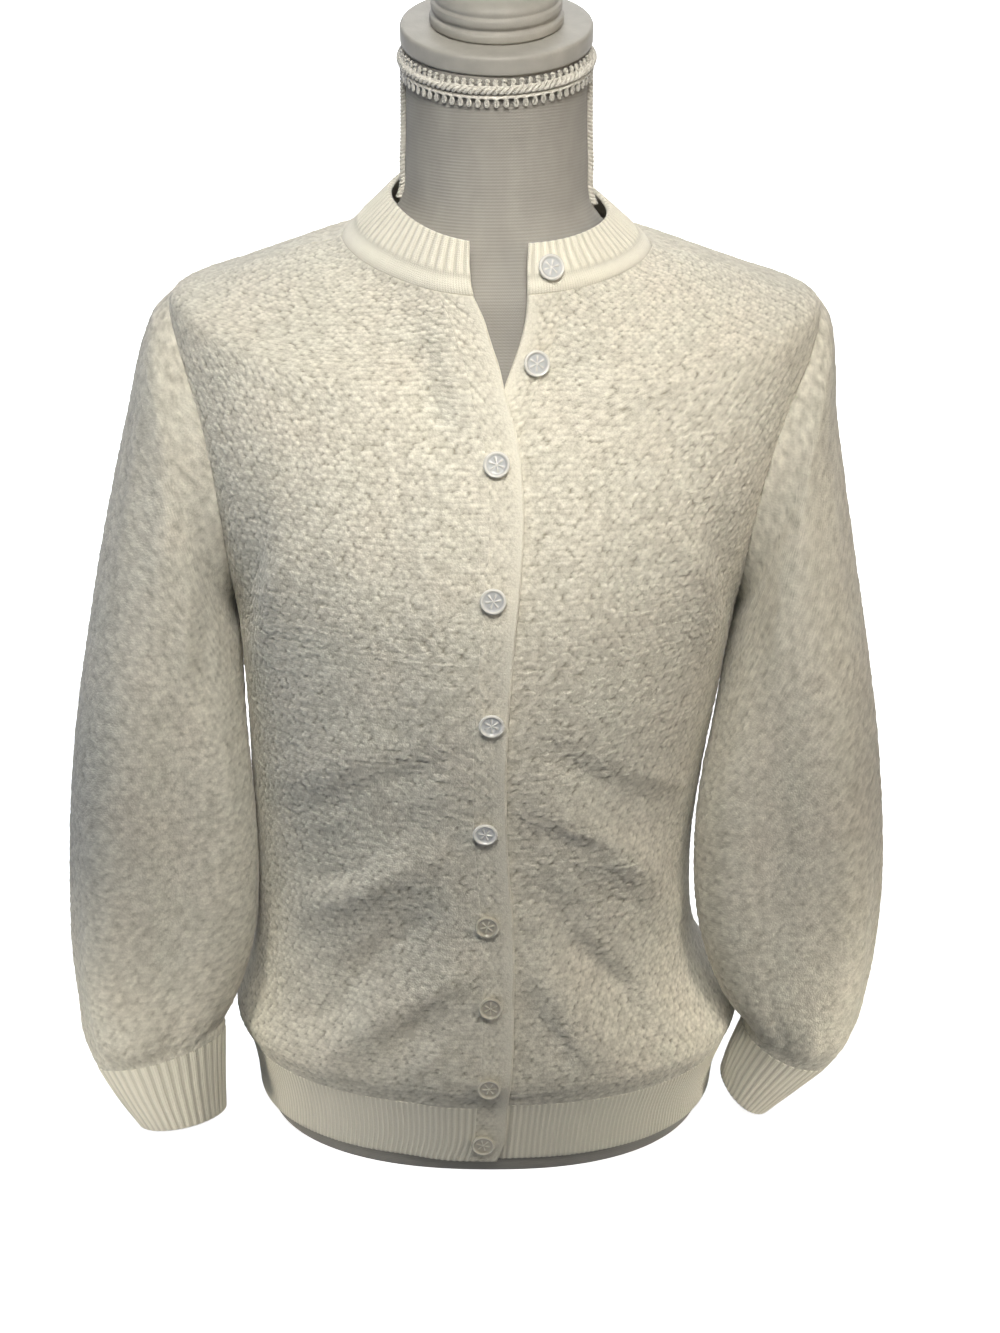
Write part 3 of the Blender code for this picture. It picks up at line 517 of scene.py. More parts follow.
CARDIGAN_RINGS = (
    (12, 12, 12, 12, 0, 165, 154, 0, -118, 117, 2.3, 1.6),
    (35, 35, 35, 35, 0, 167, 157, 0, -120, 118, 2.3, 1.6),
    (58, 58, 58, 58, 0, 172, 165, 0, -123, 120, 2.3, 1.6),
    (75, 75, 75, 75, 0, 179, 170, 0, -128, 124, 2.3, 1.6),
    (92, 92, 92, 92, 0, 174, 158, 0, -128, 123, 2.3, 1.6),
    (112, 112, 112, 112, 0, 167, 145, 0, -126, 120, 2.3, 1.6),
    (140, 140, 140, 140, 0, 163, 137, 0, -124, 116, 2.3, 1.6),
    (190, 190, 190, 190, 0, 161, 134, 0, -122, 111, 2.25, 1.6),
    (260, 260, 260, 260, 0, 161, 140, 0, -127, 107, 2.2, 1.6),
    (320, 320, 320, 320, 0, 162, 149, 0, -137, 105, 2.2, 1.6),
    (378, 378, 382, 378, 0, 166, 158, 0, -142, 104, 2.2, 1.6),
    (400, 400, 402, 401, 0, 170, 163, 0, -142, 104, 2.2, 1.6),
    (440, 440, 438, 442, 1, 179, 173, 0, -136, 103, 2.25, 1.6),
    (480, 481, 470, 484, 1, 188, 185, 0, -126, 100, 2.3, 1.6),
    (520, 521, 500, 527, 2, 196, 197, 0, -114, 94, 2.3, 1.6),
    (550, 551, 520, 560, 2, 199, 203, 0, -105, 86, 2.3, 1.6),
    (570, 571, 533, 580, 2, 197, 201, 0, -100, 80, 2.3, 1.6),
    (598, 582, 548, 595, 2, 169, 173, -3, -94, 74, 2.25, 1.6),
    (626, 591, 562, 604, 2, 143, 147, -6, -90, 69, 2.2, 1.6),
    (655, 600, 576, 612, 2, 117, 121, -8, -87, 64, 2.15, 1.6),
    (683, 607, 590, 618, 3, 91, 97, -10, -85, 63, 2.1, 1.6),
    (694, 614, 600, 628, 4, 83, 90, -9, -83, 62, 2.1, 1.6),
    (707, 623, 610, 638, 5, 72, 80, -8, -79, 61, 2.1, 1.6),
    (720, 631, 619, 646, 6, 62, 71, -7, -75, 59, 2.1, 1.6),
)
# Free edges of the fronts in mm: the lapped one (on top) and the one under it.
EDGE_COLUMNS = ("z", "over_x", "under_x")
FRONT_EDGES = (
    (12, 3, -18),
    (24, 7, -17),
    (57, 10, -15),
    (90, 13, -14),
    (145, 14, -14),
    (204, 13, -15),
    (229, 11, -16),
    (360, 11, -13),
    (399, 14, -12),
    (430, 17, -10),
    (500, 17, -7),
    (517, 14, -1),
    (533, 9, 5),
    (553, 4, 13),
    (564, 0, 17),
    (577, -4, 20),
    (590, -10, 21),
    (604, -12, 21),
    (621, -12, 22),
)
# Soft folds in mm: start x and z, end x and z, width, height (a trough below 0).
FRONT_FOLDS = (
    (-30, 252, -128, 178, 15, 4.5),
    (-34, 205, -126, 108, 14, -4.5),
    (-8, 170, -118, 78, 14, 4.0),
    (-60, 330, -140, 262, 18, 2.5),
    (22, 292, 112, 205, 16, 3.5),
    (28, 222, 104, 96, 15, -4.5),
    (20, 168, 84, 82, 12, 3.0),
    (74, 250, 132, 150, 14, 3.0),
    (-46, 560, -26, 500, 14, -2.5),
    (50, 560, 38, 505, 14, -2.0),
)
BACK_FOLDS = (
    (-12, 250, -118, 168, 17, 4.0),
    (-20, 205, -112, 104, 15, -4.0),
    (24, 262, 122, 182, 17, 4.0),
    (16, 196, 108, 100, 15, -3.5),
    (-4, 150, -70, 82, 13, 3.0),
    (-95, 420, -60, 330, 18, 3.0),
    (98, 410, 66, 322, 18, 3.0),
)
FOLD_FULL, FOLD_TIGHT = 1.5, 0.9        # times as high and as wide as the tables say
# Smaller creases between the folds, uneven in length, depth and spacing.
FRONT_CREASES = (
    (-138, 472, -157, 366, 9, -2.6),
    (-122, 446, -146, 340, 11, 2.2),
    (134, 470, 150, 372, 9, -2.2),
    (118, 452, 138, 350, 11, 1.8),
    (-44, 578, -24, 500, 13, -1.6),
    (42, 584, 30, 516, 12, -1.5),
    (-18, 322, -104, 262, 11, -2.0),
    (-60, 292, -118, 244, 9, 1.6),
    (26, 330, 96, 268, 11, -1.8),
    (-24, 148, -66, 98, 9, -1.8),
    (-92, 150, -140, 108, 9, 1.6),
    (44, 200, 92, 140, 8, 1.4),
    (-52, 148, -104, 92, 6, 1.6),
    (-22, 116, -58, 76, 6, 1.4),
    (-92, 128, -132, 96, 5, -1.5),
    (-70, 232, -120, 208, 7, -1.4),
    (-40, 300, -92, 276, 8, 1.0),
    (34, 138, 66, 84, 6, 1.5),
    (60, 176, 98, 120, 6, -1.6),
    (96, 140, 118, 92, 6, 1.4),
    (30, 262, 78, 236, 7, -1.2),
    (88, 300, 128, 262, 8, 1.2),
    (-110, 452, -142, 398, 9, 1.4),
    (104, 456, 138, 404, 9, 1.4),
    (-96, 530, -128, 470, 8, -1.0),
    (92, 528, 122, 476, 8, -1.0),
)
BACK_CREASES = (
    (-50, 152, -98, 96, 6, 1.5),
    (40, 146, 84, 88, 7, 1.4),
    (6, 118, 30, 78, 6, -1.3),
    (-66, 236, -116, 210, 7, -1.3),
    (58, 238, 104, 216, 8, 1.2),
    (-118, 470, -90, 396, 9, 1.4),
    (116, 474, 92, 402, 9, 1.3),
    (-30, 560, 34, 556, 12, -1.2),
)


def angle_at_x(x, level):
    """Angle on the front half of a ring of the cardigan where it is x mm to the side."""
    ring = ring_values(CARDIGAN_RINGS, level)
    half = np.where(np.asarray(x) < 0, ring["half_l"], ring["half_r"])
    return np.arcsin(np.sign(x) * (np.abs(x) / half) ** (ring["square"] / 2))


def edge_x(name, level):
    """How far to the side a front's free edge lies at a level, mm."""
    z = ring_values(CARDIGAN_RINGS, level)["front_z"]
    return smooth(FRONT_EDGES, EDGE_COLUMNS, "z", name, z)


def fold_height(points, folds):
    """Sum of the folds in metres: each is its height times a bell curve across it and
    half a sine wave along it."""
    x, z = points[..., 0] / MM, points[..., 2] / MM
    total = np.zeros(x.shape)
    for start_x, start_z, end_x, end_z, width, height in folds:
        run_x, run_z = end_x - start_x, end_z - start_z
        length = np.hypot(run_x, run_z)
        along = ((x - start_x) * run_x + (z - start_z) * run_z) / length ** 2
        across = ((x - start_x) * run_z - (z - start_z) * run_x) / length
        taper = np.clip(np.sin(np.pi * np.clip(along * 0.9 + 0.05, 0, 1)), 0, 1)
        total += FOLD_FULL * height * taper * np.exp(-(across / (FOLD_TIGHT * width)) ** 2)
    return total * MM


def body_skin(angle, level, lapped=False):
    """Points of the cardigan's outer face: the ring point, moved level and outward
    by its folds, and by the overlap where this front laps over the other."""
    angle, level = np.broadcast_arrays(np.asarray(angle, float), np.asarray(level, float))
    points = ring_point(CARDIGAN_RINGS, angle, level)
    folds = np.where(np.cos(angle) > 0, fold_height(points, FRONT_FOLDS + FRONT_CREASES),
                     fold_height(points, BACK_FOLDS + BACK_CREASES))
    height = folds * np.clip(np.abs(np.cos(angle)) * 3, 0, 1)
    u = np.clip((points[..., 0] / MM - LIFT_FROM) / (LIFT_FULL - LIFT_FROM), 0, 1)
    height = height + np.where(lapped, OVERLAP_LIFT * MM * u * u * (3 - 2 * u), 0)
    return points + outward(angle) * height[..., None]


def cloth_lengths(angle, level, centre):
    """Lengths in mm across and up the cloth at each place of the body: along its
    ring from the centre angle, and up its meridian from the hem. Both are running
    sums on a net of rings, read between its knots in straight lines. The net runs
    once and a half round, every 2 degrees and about every 3 mm up."""
    turns = np.linspace(-np.pi, 2 * np.pi, 271)
    levels = np.linspace(HEM_LEVEL, NECK_TOP, 237)
    net = ring_point(CARDIGAN_RINGS, turns[None], levels[:, None])
    run, rise = lengths(net, 1), lengths(net, 0)
    run = run - run[:, [int(np.argmin(np.abs(turns - centre)))]]
    angle, level = np.broadcast_arrays(angle, level)
    i = (angle - turns[0]) / (turns[1] - turns[0])
    j = (level - levels[0]) / (levels[1] - levels[0])
    i0 = np.clip(np.floor(i).astype(int), 0, len(turns) - 2)
    j0 = np.clip(np.floor(j).astype(int), 0, len(levels) - 2)
    s, t = i - i0, j - j0
    return [field[j0, i0] * (1 - s) * (1 - t) + field[j0, i0 + 1] * s * (1 - t)
            + field[j0 + 1, i0] * (1 - s) * t + field[j0 + 1, i0 + 1] * s * t
            for field in (run, rise)]


def spaced(length, step, rim):
    """Places from 0 to length about a step apart, closer within the rim at both
    ends, where they follow the cosine of a quarter turn as the edge rounds off."""
    turn = rim * (1 - np.cos(np.radians((0, 30, 60))))
    count = max(2, int(round((length - 2 * rim) / step)))
    return np.concatenate([turn, np.linspace(rim, length - rim, count + 1), length - turn[::-1]])


def armhole_angle(level, back):
    """Angle from the front (or the back) at which the armhole cuts a level: the
    armhole is an ellipse seen from the side."""
    ring = ring_values(CARDIGAN_RINGS, level)
    up = (level - ARMHOLE_MIDDLE) / ARMHOLE_HALF_HEIGHT
    wide = ARMHOLE_HALF_WIDTH * np.sqrt(np.clip(1 - up ** 2, 0, 1))
    depth = np.abs(ring["back_y"] if back else ring["front_y"])
    inside = np.arccos((wide / depth) ** (ring["square"] / 2))
    return np.where((level > ARMPIT_LEVEL) & (level < SHOULDER_LEVEL), inside, np.pi / 2)


def panel_levels(step):
    """Rows of a body panel, a step apart, with two closer ones at the armpit and at
    the shoulder tip, where the armhole turns across the rows."""
    trunk = spaced(ARMPIT_LEVEL - RIB_TOP_LEVEL, step, SEAM_ROUND)[:-4] + RIB_TOP_LEVEL
    close = np.array((0, 0.35, 1.05))
    height = SHOULDER_LEVEL - ARMPIT_LEVEL
    arm = np.linspace(2.1, height - 2.1, int(height / step))
    arm = np.concatenate([close, arm, height - close[::-1]]) + ARMPIT_LEVEL
    top = spaced(NECK_LEVEL - SHOULDER_LEVEL, step, SEAM_ROUND)[4:] + SHOULDER_LEVEL
    return np.concatenate([trunk, arm, top])


def face_normals(grid, closed, turn):
    """Unit normals of a grid: its way across times its way along, turned outward."""
    across = (np.roll(grid, -1, axis=1) - np.roll(grid, 1, axis=1)) if closed \
        else np.gradient(grid, axis=1)
    return turn * unit(np.cross(across, np.gradient(grid, axis=0)))


def wander(u, v, pitch, seed):
    """Smooth random field from -1 to 1: random heights on a square net of the pitch,
    joined by cubic ease between its corners."""
    table = np.random.default_rng(seed).uniform(-1, 1, (NET_ROWS, NET_COLUMNS))
    i, j = np.floor(u / pitch), np.floor(v / pitch)
    s, t = u / pitch - i, v / pitch - j
    s, t = s * s * (3 - 2 * s), t * t * (3 - 2 * t)
    i, j = i.astype(int) % NET_ROWS, j.astype(int) % NET_COLUMNS
    near, far = (i + 1) % NET_ROWS, (j + 1) % NET_COLUMNS
    low = table[i, j] * (1 - s) + table[near, j] * s
    high = table[i, far] * (1 - s) + table[near, far] * s
    return low * (1 - t) + high * t


def bubbles(u, v, seed):
    """Rows of round bumps, 0 to about 1: each place takes the highest dome of those
    around it. A dome is the square root of one less the squared distance from its
    middle. The middles lie in staggered rows and drift a little; the sizes vary."""
    table = np.random.default_rng(seed).uniform(-1, 1, (3, NET_ROWS, NET_COLUMNS))
    (drift_across, pitch_across), (drift_along, pitch_along) = ROW_DRIFT
    u = u + drift_across * wander(u, v, pitch_across, seed + 1)
    v = v + drift_along * wander(u, v, pitch_along, seed + 2)
    row = np.floor(v / BUBBLE_ROW)
    highest = np.zeros(u.shape)
    for row_step in (-1, 0, 1):
        line = row + row_step
        shift = 0.5 * (line % 2)
        column = np.floor(u / BUBBLE_WIDTH - shift)
        for column_step in (-1, 0, 1):
            cell = column + column_step
            off_u, off_v, size = table[:, line.astype(int) % NET_ROWS, cell.astype(int) % NET_COLUMNS]
            away_u = u / BUBBLE_WIDTH - shift - cell - 0.5 - DOME_SHIFT * off_u
            away_v = v / BUBBLE_ROW - line - 0.5 - DOME_SHIFT * off_v
            dome = 1 - (away_u / DOME_HALF[0]) ** 2 - (away_v / DOME_HALF[1]) ** 2
            full = (DOME_SIZE + DOME_VARIES * size) * np.sqrt(np.clip(dome, 0, 1))
            highest = np.maximum(highest, full)
    return highest


def edge_drop(distance, radius):
    """Quarter circle: how far the face has sunk at a distance from its edge."""
    reach = np.clip(radius - distance, 0, radius)
    return radius - np.sqrt(radius ** 2 - reach ** 2)


def even_bubbles(u, v, seed):
    """The same bumps for a coarser net: the mean of four places 1 mm apart."""
    return np.mean([bubbles(u + part_u, v + part_v, seed) for part_u in (-0.5, 0.5)
                    for part_v in (-0.5, 0.5)], axis=0)


def wall_rim(fine, coarse, keep_r, keep_c, closed):
    """Faces that join the edges of the fine outer face to those of the coarse inner
    one: each takes the outer points between two kept ones and the two inner ones."""
    borders = [(fine[0], coarse[0], keep_c, -1), (fine[-1], coarse[-1], keep_c, 1)]
    if not closed:
        borders += [(fine[:, 0], coarse[:, 0], keep_r, 1), (fine[:, -1], coarse[:, -1], keep_r, -1)]
    rim = []
    for line, inside, kept, way in borders:
        for k in range(len(kept) - 1):
            face = line[kept[k]:kept[k + 1] + 1].tolist() + [int(inside[k + 1]), int(inside[k])]
            rim.append(face[::way])
    return rim


def knit_wall(name, node, finish, grid, turn, relief, height, uv=None, girth=0,
              rounds=(SEAM_ROUND,) * 4):
    """Closed wall of cloth, a tube if it has a girth in mm. The fine outer face is the
    grid raised by the relief and rounded off at its four edges (first row, last row,
    first column, last column). The inner face is the grid moved in by the wall."""
    rows, columns = grid.shape[:2]
    closed = girth != 0
    across, along = lengths(grid, 1), lengths(grid, 0)
    if uv is None:
        uv = np.stack([across, along], axis=-1)
    normals = face_normals(grid, closed, turn)
    drop = np.maximum(edge_drop(along, rounds[0]), edge_drop(along[-1] - along, rounds[1]))
    if not closed:
        side = np.maximum(edge_drop(across, rounds[2]),
                          edge_drop(across[:, -1:] - across, rounds[3]))
        drop = np.maximum(drop, side)
    raised = (height * (relief - 0.5) * np.exp(-drop) - drop) * MM
    outer = grid + normals * raised[..., None]
    keep_r = np.unique(np.append(np.arange(0, rows, INNER_STEP), rows - 1))
    keep_c = np.arange(0, columns, INNER_STEP) if closed \
        else np.unique(np.append(np.arange(0, columns, INNER_STEP), columns - 1))
    inner = (grid - normals * WALL * MM)[np.ix_(keep_r, keep_c)]
    quads, places = grid_quads(rows, columns, closed)
    inner_quads, _ = grid_quads(len(keep_r), len(keep_c), closed)
    shift = rows * columns
    fine = np.arange(shift).reshape(rows, columns)
    coarse = np.arange(len(keep_r) * len(keep_c)).reshape(len(keep_r), len(keep_c)) + shift
    if closed:
        fine = np.concatenate([fine, fine[:, :1]], axis=1)
        coarse = np.concatenate([coarse, coarse[:, :1]], axis=1)
        keep_c = np.append(keep_c, columns)
        uv = np.concatenate([uv, uv[:, :1] + np.array([girth, 0])], axis=1)
    rim = wall_rim(fine, coarse, keep_r, keep_c, closed)
    inner_uv = np.zeros((inner_quads.size + sum(len(face) for face in rim), 2))
    faces = quads.tolist() + (inner_quads[:, ::-1] + shift).tolist() + rim
    if turn < 0:
        faces = [face[::-1] for face in faces]
        places = places[:, ::-1]
    corner_uv = np.concatenate([uv.reshape(-1, 2)[places.ravel()], inner_uv])
    points = np.concatenate([outer.reshape(-1, 3), inner.reshape(-1, 3)])
    heights = np.concatenate([relief.ravel(), np.full(inner.shape[0] * inner.shape[1], 0.5)])
    piece = make_piece(name, points, faces, finish, corner_uv, heights)
    stand_for(piece, node)
    return piece


def bubbly_knit(name, pit_shade_a, pit_shade_b, bump_a, bump_b):
    """Cream acrylic and wool in bubbly tuck knit: pale bumps with painted shade in the pits
    between them, a dull woolly surface with a light fuzz, a little blotchy in colour."""
    finish, tree, shader = new_material(name, Roughness=0.92, Sheen_Weight=0.35,
                                        Sheen_Roughness=0.45, Specular_IOR_Level=0.2)
    pair = cloth_axes(tree)[2]
    loops = add_node(tree, "TexVoronoi", {"Vector": pair, "Scale": 1 / 1.5, "Randomness": 0.8})
    fuzz = add_node(tree, "TexNoise", {"Vector": pair, "Scale": 1 / 1.3, "Detail": 3.0,
                                       "Roughness": 0.65}).outputs[0]
    relief = add_node(tree, "Attribute", attribute_name="relief").outputs["Fac"]
    height = maths(tree, "MULTIPLY_ADD", loops.outputs["Distance"], -0.4, fuzz)
    # Painted shade: where the relief is low, in the pits, the colour goes to the darker pit colours.
    shade = maths(tree, "MULTIPLY_ADD", relief, 0.9, maths(tree, "MULTIPLY", height, 0.4))
    blotch = add_node(tree, "TexNoise", {"Vector": pair, "Scale": 1 / 45, "Detail": 2.0}).outputs[0]
    pit_shade = blend_colours(tree, blotch, srgb(pit_shade_a), srgb(pit_shade_b))
    bumps = blend_colours(tree, blotch, srgb(bump_a), srgb(bump_b))
    tint = blend_colours(tree, shade, pit_shade, bumps)
    tree.links.new(tint, shader.inputs["Base Color"])
    bump_into(tree, shader, height, 0.5)
    return finish


# The first two colours are the painted shade of the pits, the last two the bumps.
knit = bubbly_knit("acrylic_wool_tuck_knit", "#8E8A7A", "#948D7D", "#F2F1E4", "#F5EEE0")
panel_rows = panel_levels(FRONT_ROW)
for front_side, front_node, edge_name in ((-1, "right_front", "over_x"),
                                          (1, "left_front", "under_x")):
    seam_x = edge_x(edge_name, panel_rows) + front_side * PLACKET_WIDTH
    inner_angle = angle_at_x(seam_x, panel_rows)
    outer_angle = front_side * armhole_angle(panel_rows, back=False)
    part_way = spaced(FRONT_WIDTH, FRONT_STEP, SEAM_ROUND) / FRONT_WIDTH
    sweep = inner_angle[:, None] + (outer_angle - inner_angle)[:, None] * part_way
    front_grid = body_skin(sweep, panel_rows[:, None], lapped=front_side < 0)
    front_uv = cloth_lengths(sweep, panel_rows[:, None], 0.0)
    fade = np.clip(BAND_BUBBLES[front_side] + lengths(front_grid, 1) / BAND_FADE, 0, 1)
    front_bubbles = bubbles(*front_uv, seed=11 + front_side)
    front_relief = SMOOTH_RELIEF + fade * (front_bubbles - SMOOTH_RELIEF)
    front = knit_wall(front_node + "_knit", front_node, knit, front_grid, front_side,
                      front_relief, BUBBLE_HEIGHT, np.stack(front_uv, axis=-1),
                      rounds=(SEAM_ROUND, SEAM_ROUND, LINK_ROUND, SEAM_ROUND))


# ==== Back ===================================================================
# One panel of the same bubbly knit, from side seam to side seam, with its
# shoulders sloped and a shallow neck. Its drag folds are like those of the fronts.
BACK_WIDTH = 470              # mm round the back from side seam to side seam
BACK_STEP, BACK_ROW = 2.7, 2.1

back_rows = panel_levels(BACK_ROW)
back_reach = armhole_angle(back_rows, back=True)
back_way = spaced(BACK_WIDTH, BACK_STEP, SEAM_ROUND) / BACK_WIDTH * 2 - 1
back_sweep = np.pi + back_reach[:, None] * back_way
back_grid = body_skin(back_sweep, back_rows[:, None])
back_uv = cloth_lengths(back_sweep, back_rows[:, None], np.pi)
back_piece = knit_wall("back_knit", "back", knit, back_grid, 1,
                       even_bubbles(*back_uv, seed=31), BUBBLE_HEIGHT,
                       np.stack(back_uv, axis=-1))


# ==== Sleeves ================================================================
# Two long set-in sleeves of the bubbly knit, each a tube with one seam under the
# arm. Empty, they hang by the armhole, a little flat, and gather at the cuff.
SLEEVE_STEP = 1.65            # mm between rows
SLEEVE_COLUMNS = 170
SLEEVE_GIRTH = 70 * BUBBLE_WIDTH        # mm, a whole number of bumps round the sleeve
SLEEVE_END, CUFF_END = 13, 15           # rings from the armhole, which is ring 0
# Rings in mm: outer x and z, inner x and z, y of the middle, half depth, front's rise
RIGHT_SLEEVE_RINGS = (
    (-209, 561, -168, 370, -4, 65, 0),
    (-218, 538, -167.5, 360, -7, 65, 0),
    (-226, 505, -165, 348, -12, 63, 0),
    (-237, 462, -163.3, 332, -18, 60, 0),
    (-249, 410, -162, 312, -25, 57, 0),
    (-260, 355, -160.5, 290, -32, 54, 0),
    (-270, 300, -158, 258, -38, 51, 0),
    (-279, 235, -156, 213, -43, 48, 0),
    (-284, 170, -158, 162, -47, 47, 0),
    (-285, 130, -165, 128, -50, 46, 0),
    (-282, 98, -174, 103, -54, 46, 2),
    (-278, 73, -182, 87, -58, 43, 5),
    (-270, 52, -182, 79, -62, 37, 8),
)
LEFT_SLEEVE_RINGS = (
    (209, 557, 159.5, 370, -4, 64, 0),
    (212, 535, 157.5, 360, -8, 64, 0),
    (214, 505, 155.5, 348, -13, 62, 0),
    (221, 462, 152, 332, -20, 59, 0),
    (230, 410, 147.5, 312, -28, 56, 0),
    (240, 355, 143, 290, -35, 53, 0),
    (249, 300, 137, 258, -41, 50, 0),
    (257, 240, 134, 215, -45, 48, 0),
    (261, 185, 136.5, 170, -47, 47, 0),
    (260, 138, 145, 132, -47, 46, 0),
    (256, 101, 158, 100, -45, 45, 0),
    (248, 68, 172, 80, -42, 43, 0),
    (234, 44, 172, 70, -40, 36, 0),
)
RIGHT_CUFF_RINGS = (
    (-256, 29, -183, 48, -68, 34, 10),
    (-241, 11, -183, 22, -74, 32, 10),
)
LEFT_CUFF_RINGS = (
    (212, 22, 164, 46, -39, 32, 0),
    (192, 6, 159, 27, -40, 30, 0),
)
# Long folds: degrees from the outer line towards the front, first and last row of the
# tables above (their first is 0), width in degrees, height in mm (a trough below 0).
SLEEVE_FOLDS = (
    (62, 4, 12, 20, 5.0),
    (105, 3, 10, 18, -4.6),
    (20, 6, 12, 19, -3.8),
    (150, 5, 11, 24, 2.5),
    (230, 4, 12, 26, 3.5),
    (285, 5, 12, 20, -4.4),
)
# Short creases above the cuff and at the elbow, in the same columns.
SLEEVE_CREASES = (
    (40, 9, 12, 9, -1.6),
    (84, 9.5, 12, 9, 1.8),
    (112, 9, 12, 8, -1.6),
    (136, 10, 12, 9, 1.5),
    (2, 10, 12, 9, 1.6),
    (196, 9, 12, 10, -1.6),
    (250, 9.5, 12, 9, 1.6),
    (318, 9, 12, 10, -1.6),
    (84, 0.5, 4, 12, 1.8),
    (58, 0.5, 3.5, 11, -1.8),
    (126, 0.8, 5, 12, -4.4),
    (106, 1.2, 5, 9, 2.2),
    (138, 3.5, 7.5, 9, 1.2),
    (202, 2, 12, 17, -2.0),
    (30, 1, 5, 12, -1.8),
    (76, 6.5, 9.5, 10, -1.8),
    (48, 7.5, 11, 9, 1.6),
)


def armhole_line(side, turn):
    """The armhole seam at each turn from the shoulder tip, through the front at a
    quarter turn and the armpit at half a turn, to the back."""
    level = ARMHOLE_MIDDLE + ARMHOLE_HALF_HEIGHT * np.cos(turn)
    front = np.sin(turn) > 0
    reach = np.where(front, armhole_angle(level, False), np.pi - armhole_angle(level, True))
    return body_skin(side * reach, level, lapped=(side < 0) & front)


def sleeve_surface(side, turn, along, tables):
    """A tube through its rings: each ring is its middle plus its reach times cosine
    plus its depth times sine, and cubic curves join the rings along the sleeve. Each
    fold is a bell curve round the sleeve times half a sine wave along it."""
    rows = np.array(tables, float) * MM
    outer_x, outer_z, inner_x, inner_z, mid_y, half_y, front_rise = rows.T
    middle = np.stack([(outer_x + inner_x) / 2, mid_y, (outer_z + inner_z) / 2], axis=-1)
    across = np.stack([(outer_x - inner_x) / 2, 0 * mid_y, (outer_z - inner_z) / 2], axis=-1)
    forward = np.stack([0 * mid_y, -half_y, front_rise], axis=-1)
    rings = middle[:, None] + across[:, None] * np.cos(turn)[:, None] \
        + forward[:, None] * np.sin(turn)[:, None]
    rings = np.concatenate([armhole_line(side, turn)[None], rings])
    slopes = np.gradient(rings, axis=0)
    i = np.clip(np.floor(along).astype(int), 0, len(rings) - 2)
    u = (along - i)[:, None, None]
    rise = rings[i + 1] - rings[i]
    surface = rings[i] + u * rise + u * (1 - u) * (
        (1 - u) * (slopes[i] - rise) + u * (rise - slopes[i + 1]))
    away = unit(surface - surface.mean(axis=1, keepdims=True))
    degrees = np.degrees(turn)[None]
    ring = (along - 1)[:, None]
    height = np.zeros(surface.shape[:2])
    for centre, first, last, width, size in SLEEVE_FOLDS + SLEEVE_CREASES:
        apart = (degrees - centre + 180) % 360 - 180
        taper = np.clip((ring - first) / (last - first), 0, 1)
        height += size * np.sin(np.pi * taper) * np.exp(-(apart / width) ** 2)
    return surface + away * (height * (ring < SLEEVE_END - 1) * MM)[..., None]


def tube_lengths(side, grid, table):
    """Lengths in mm round and up a hanging sleeve, level with the ground: the angle
    about its middle line from the side that faces the body, as a part of its girth,
    and the height. The angle runs on without a jump from column to column."""
    outer_x, outer_z, inner_x, inner_z, mid_y = np.array(table, float)[::-1, :5].T
    height = grid[..., 2] / MM
    middle_z = (outer_z + inner_z) / 2
    away_x = grid[..., 0] / MM - np.interp(height, middle_z, (outer_x + inner_x) / 2)
    away_y = grid[..., 1] / MM - np.interp(height, middle_z, mid_y)
    turn = np.unwrap(np.arctan2(away_y, -side * away_x), axis=1)
    return turn / (2 * np.pi) * SLEEVE_GIRTH, height


def even_steps(side, tables, first, last, step, rim):
    """Places along the sleeve between two rings, even in length with closer ends. The
    length is the mean of 16 lines down the tube, read at 200 places."""
    turn = np.linspace(0, 2 * np.pi, 17)[:-1]
    places = np.linspace(first, last, 200)
    surface = sleeve_surface(side, turn, places, tables)
    run = lengths(surface, 0).mean(axis=1)
    return np.interp(spaced(run[-1], step, rim), run, places)


for sleeve_side, sleeve_node, sleeve_rings, cuff_rings in (
        (-1, "right_sleeve", RIGHT_SLEEVE_RINGS, RIGHT_CUFF_RINGS),
        (1, "left_sleeve", LEFT_SLEEVE_RINGS, LEFT_CUFF_RINGS)):
    sleeve_tables = sleeve_rings + cuff_rings
    sleeve_turn = np.pi + np.arange(SLEEVE_COLUMNS) * 2 * np.pi / SLEEVE_COLUMNS
    places = even_steps(sleeve_side, sleeve_tables, 0, SLEEVE_END, SLEEVE_STEP, SEAM_ROUND)
    sleeve_grid = sleeve_surface(sleeve_side, sleeve_turn, places, sleeve_tables)
    sleeve_uv = tube_lengths(sleeve_side, sleeve_grid, sleeve_rings)
    sleeve = knit_wall(sleeve_node + "_knit", sleeve_node, knit, sleeve_grid,
                       sleeve_side, even_bubbles(*sleeve_uv, seed=51 + sleeve_side), BUBBLE_HEIGHT,
                       np.stack(sleeve_uv, axis=-1), girth=SLEEVE_GIRTH)


# ==== Hem rib ================================================================
# The welt at the bottom of both fronts and the back: fine one-and-one rib in the
# same yarn, knitted on. It draws the body in, so that the cloth above blouses.
RIB_WALE = 1.55               # mm, one column of stitches
RIB_COURSE = 1.25             # mm, one row of stitches
HEM_RIB = 2 * RIB_WALE        # mm, one rib and one furrow
HEM_RELIEF = 0.9              # mm from a rib's crest down into its furrow
HEM_STEP, HEM_ROW = 0.62, 2.2           # mm between columns and rows of the outer face


def ribs(phase, sharp=0.55):
    """Rounded ribs with narrow furrows, 0 to 1: the cosine of half a turn for each
    rib, without its sign, to a power below one."""
    return np.abs(np.cos(np.pi * phase)) ** sharp


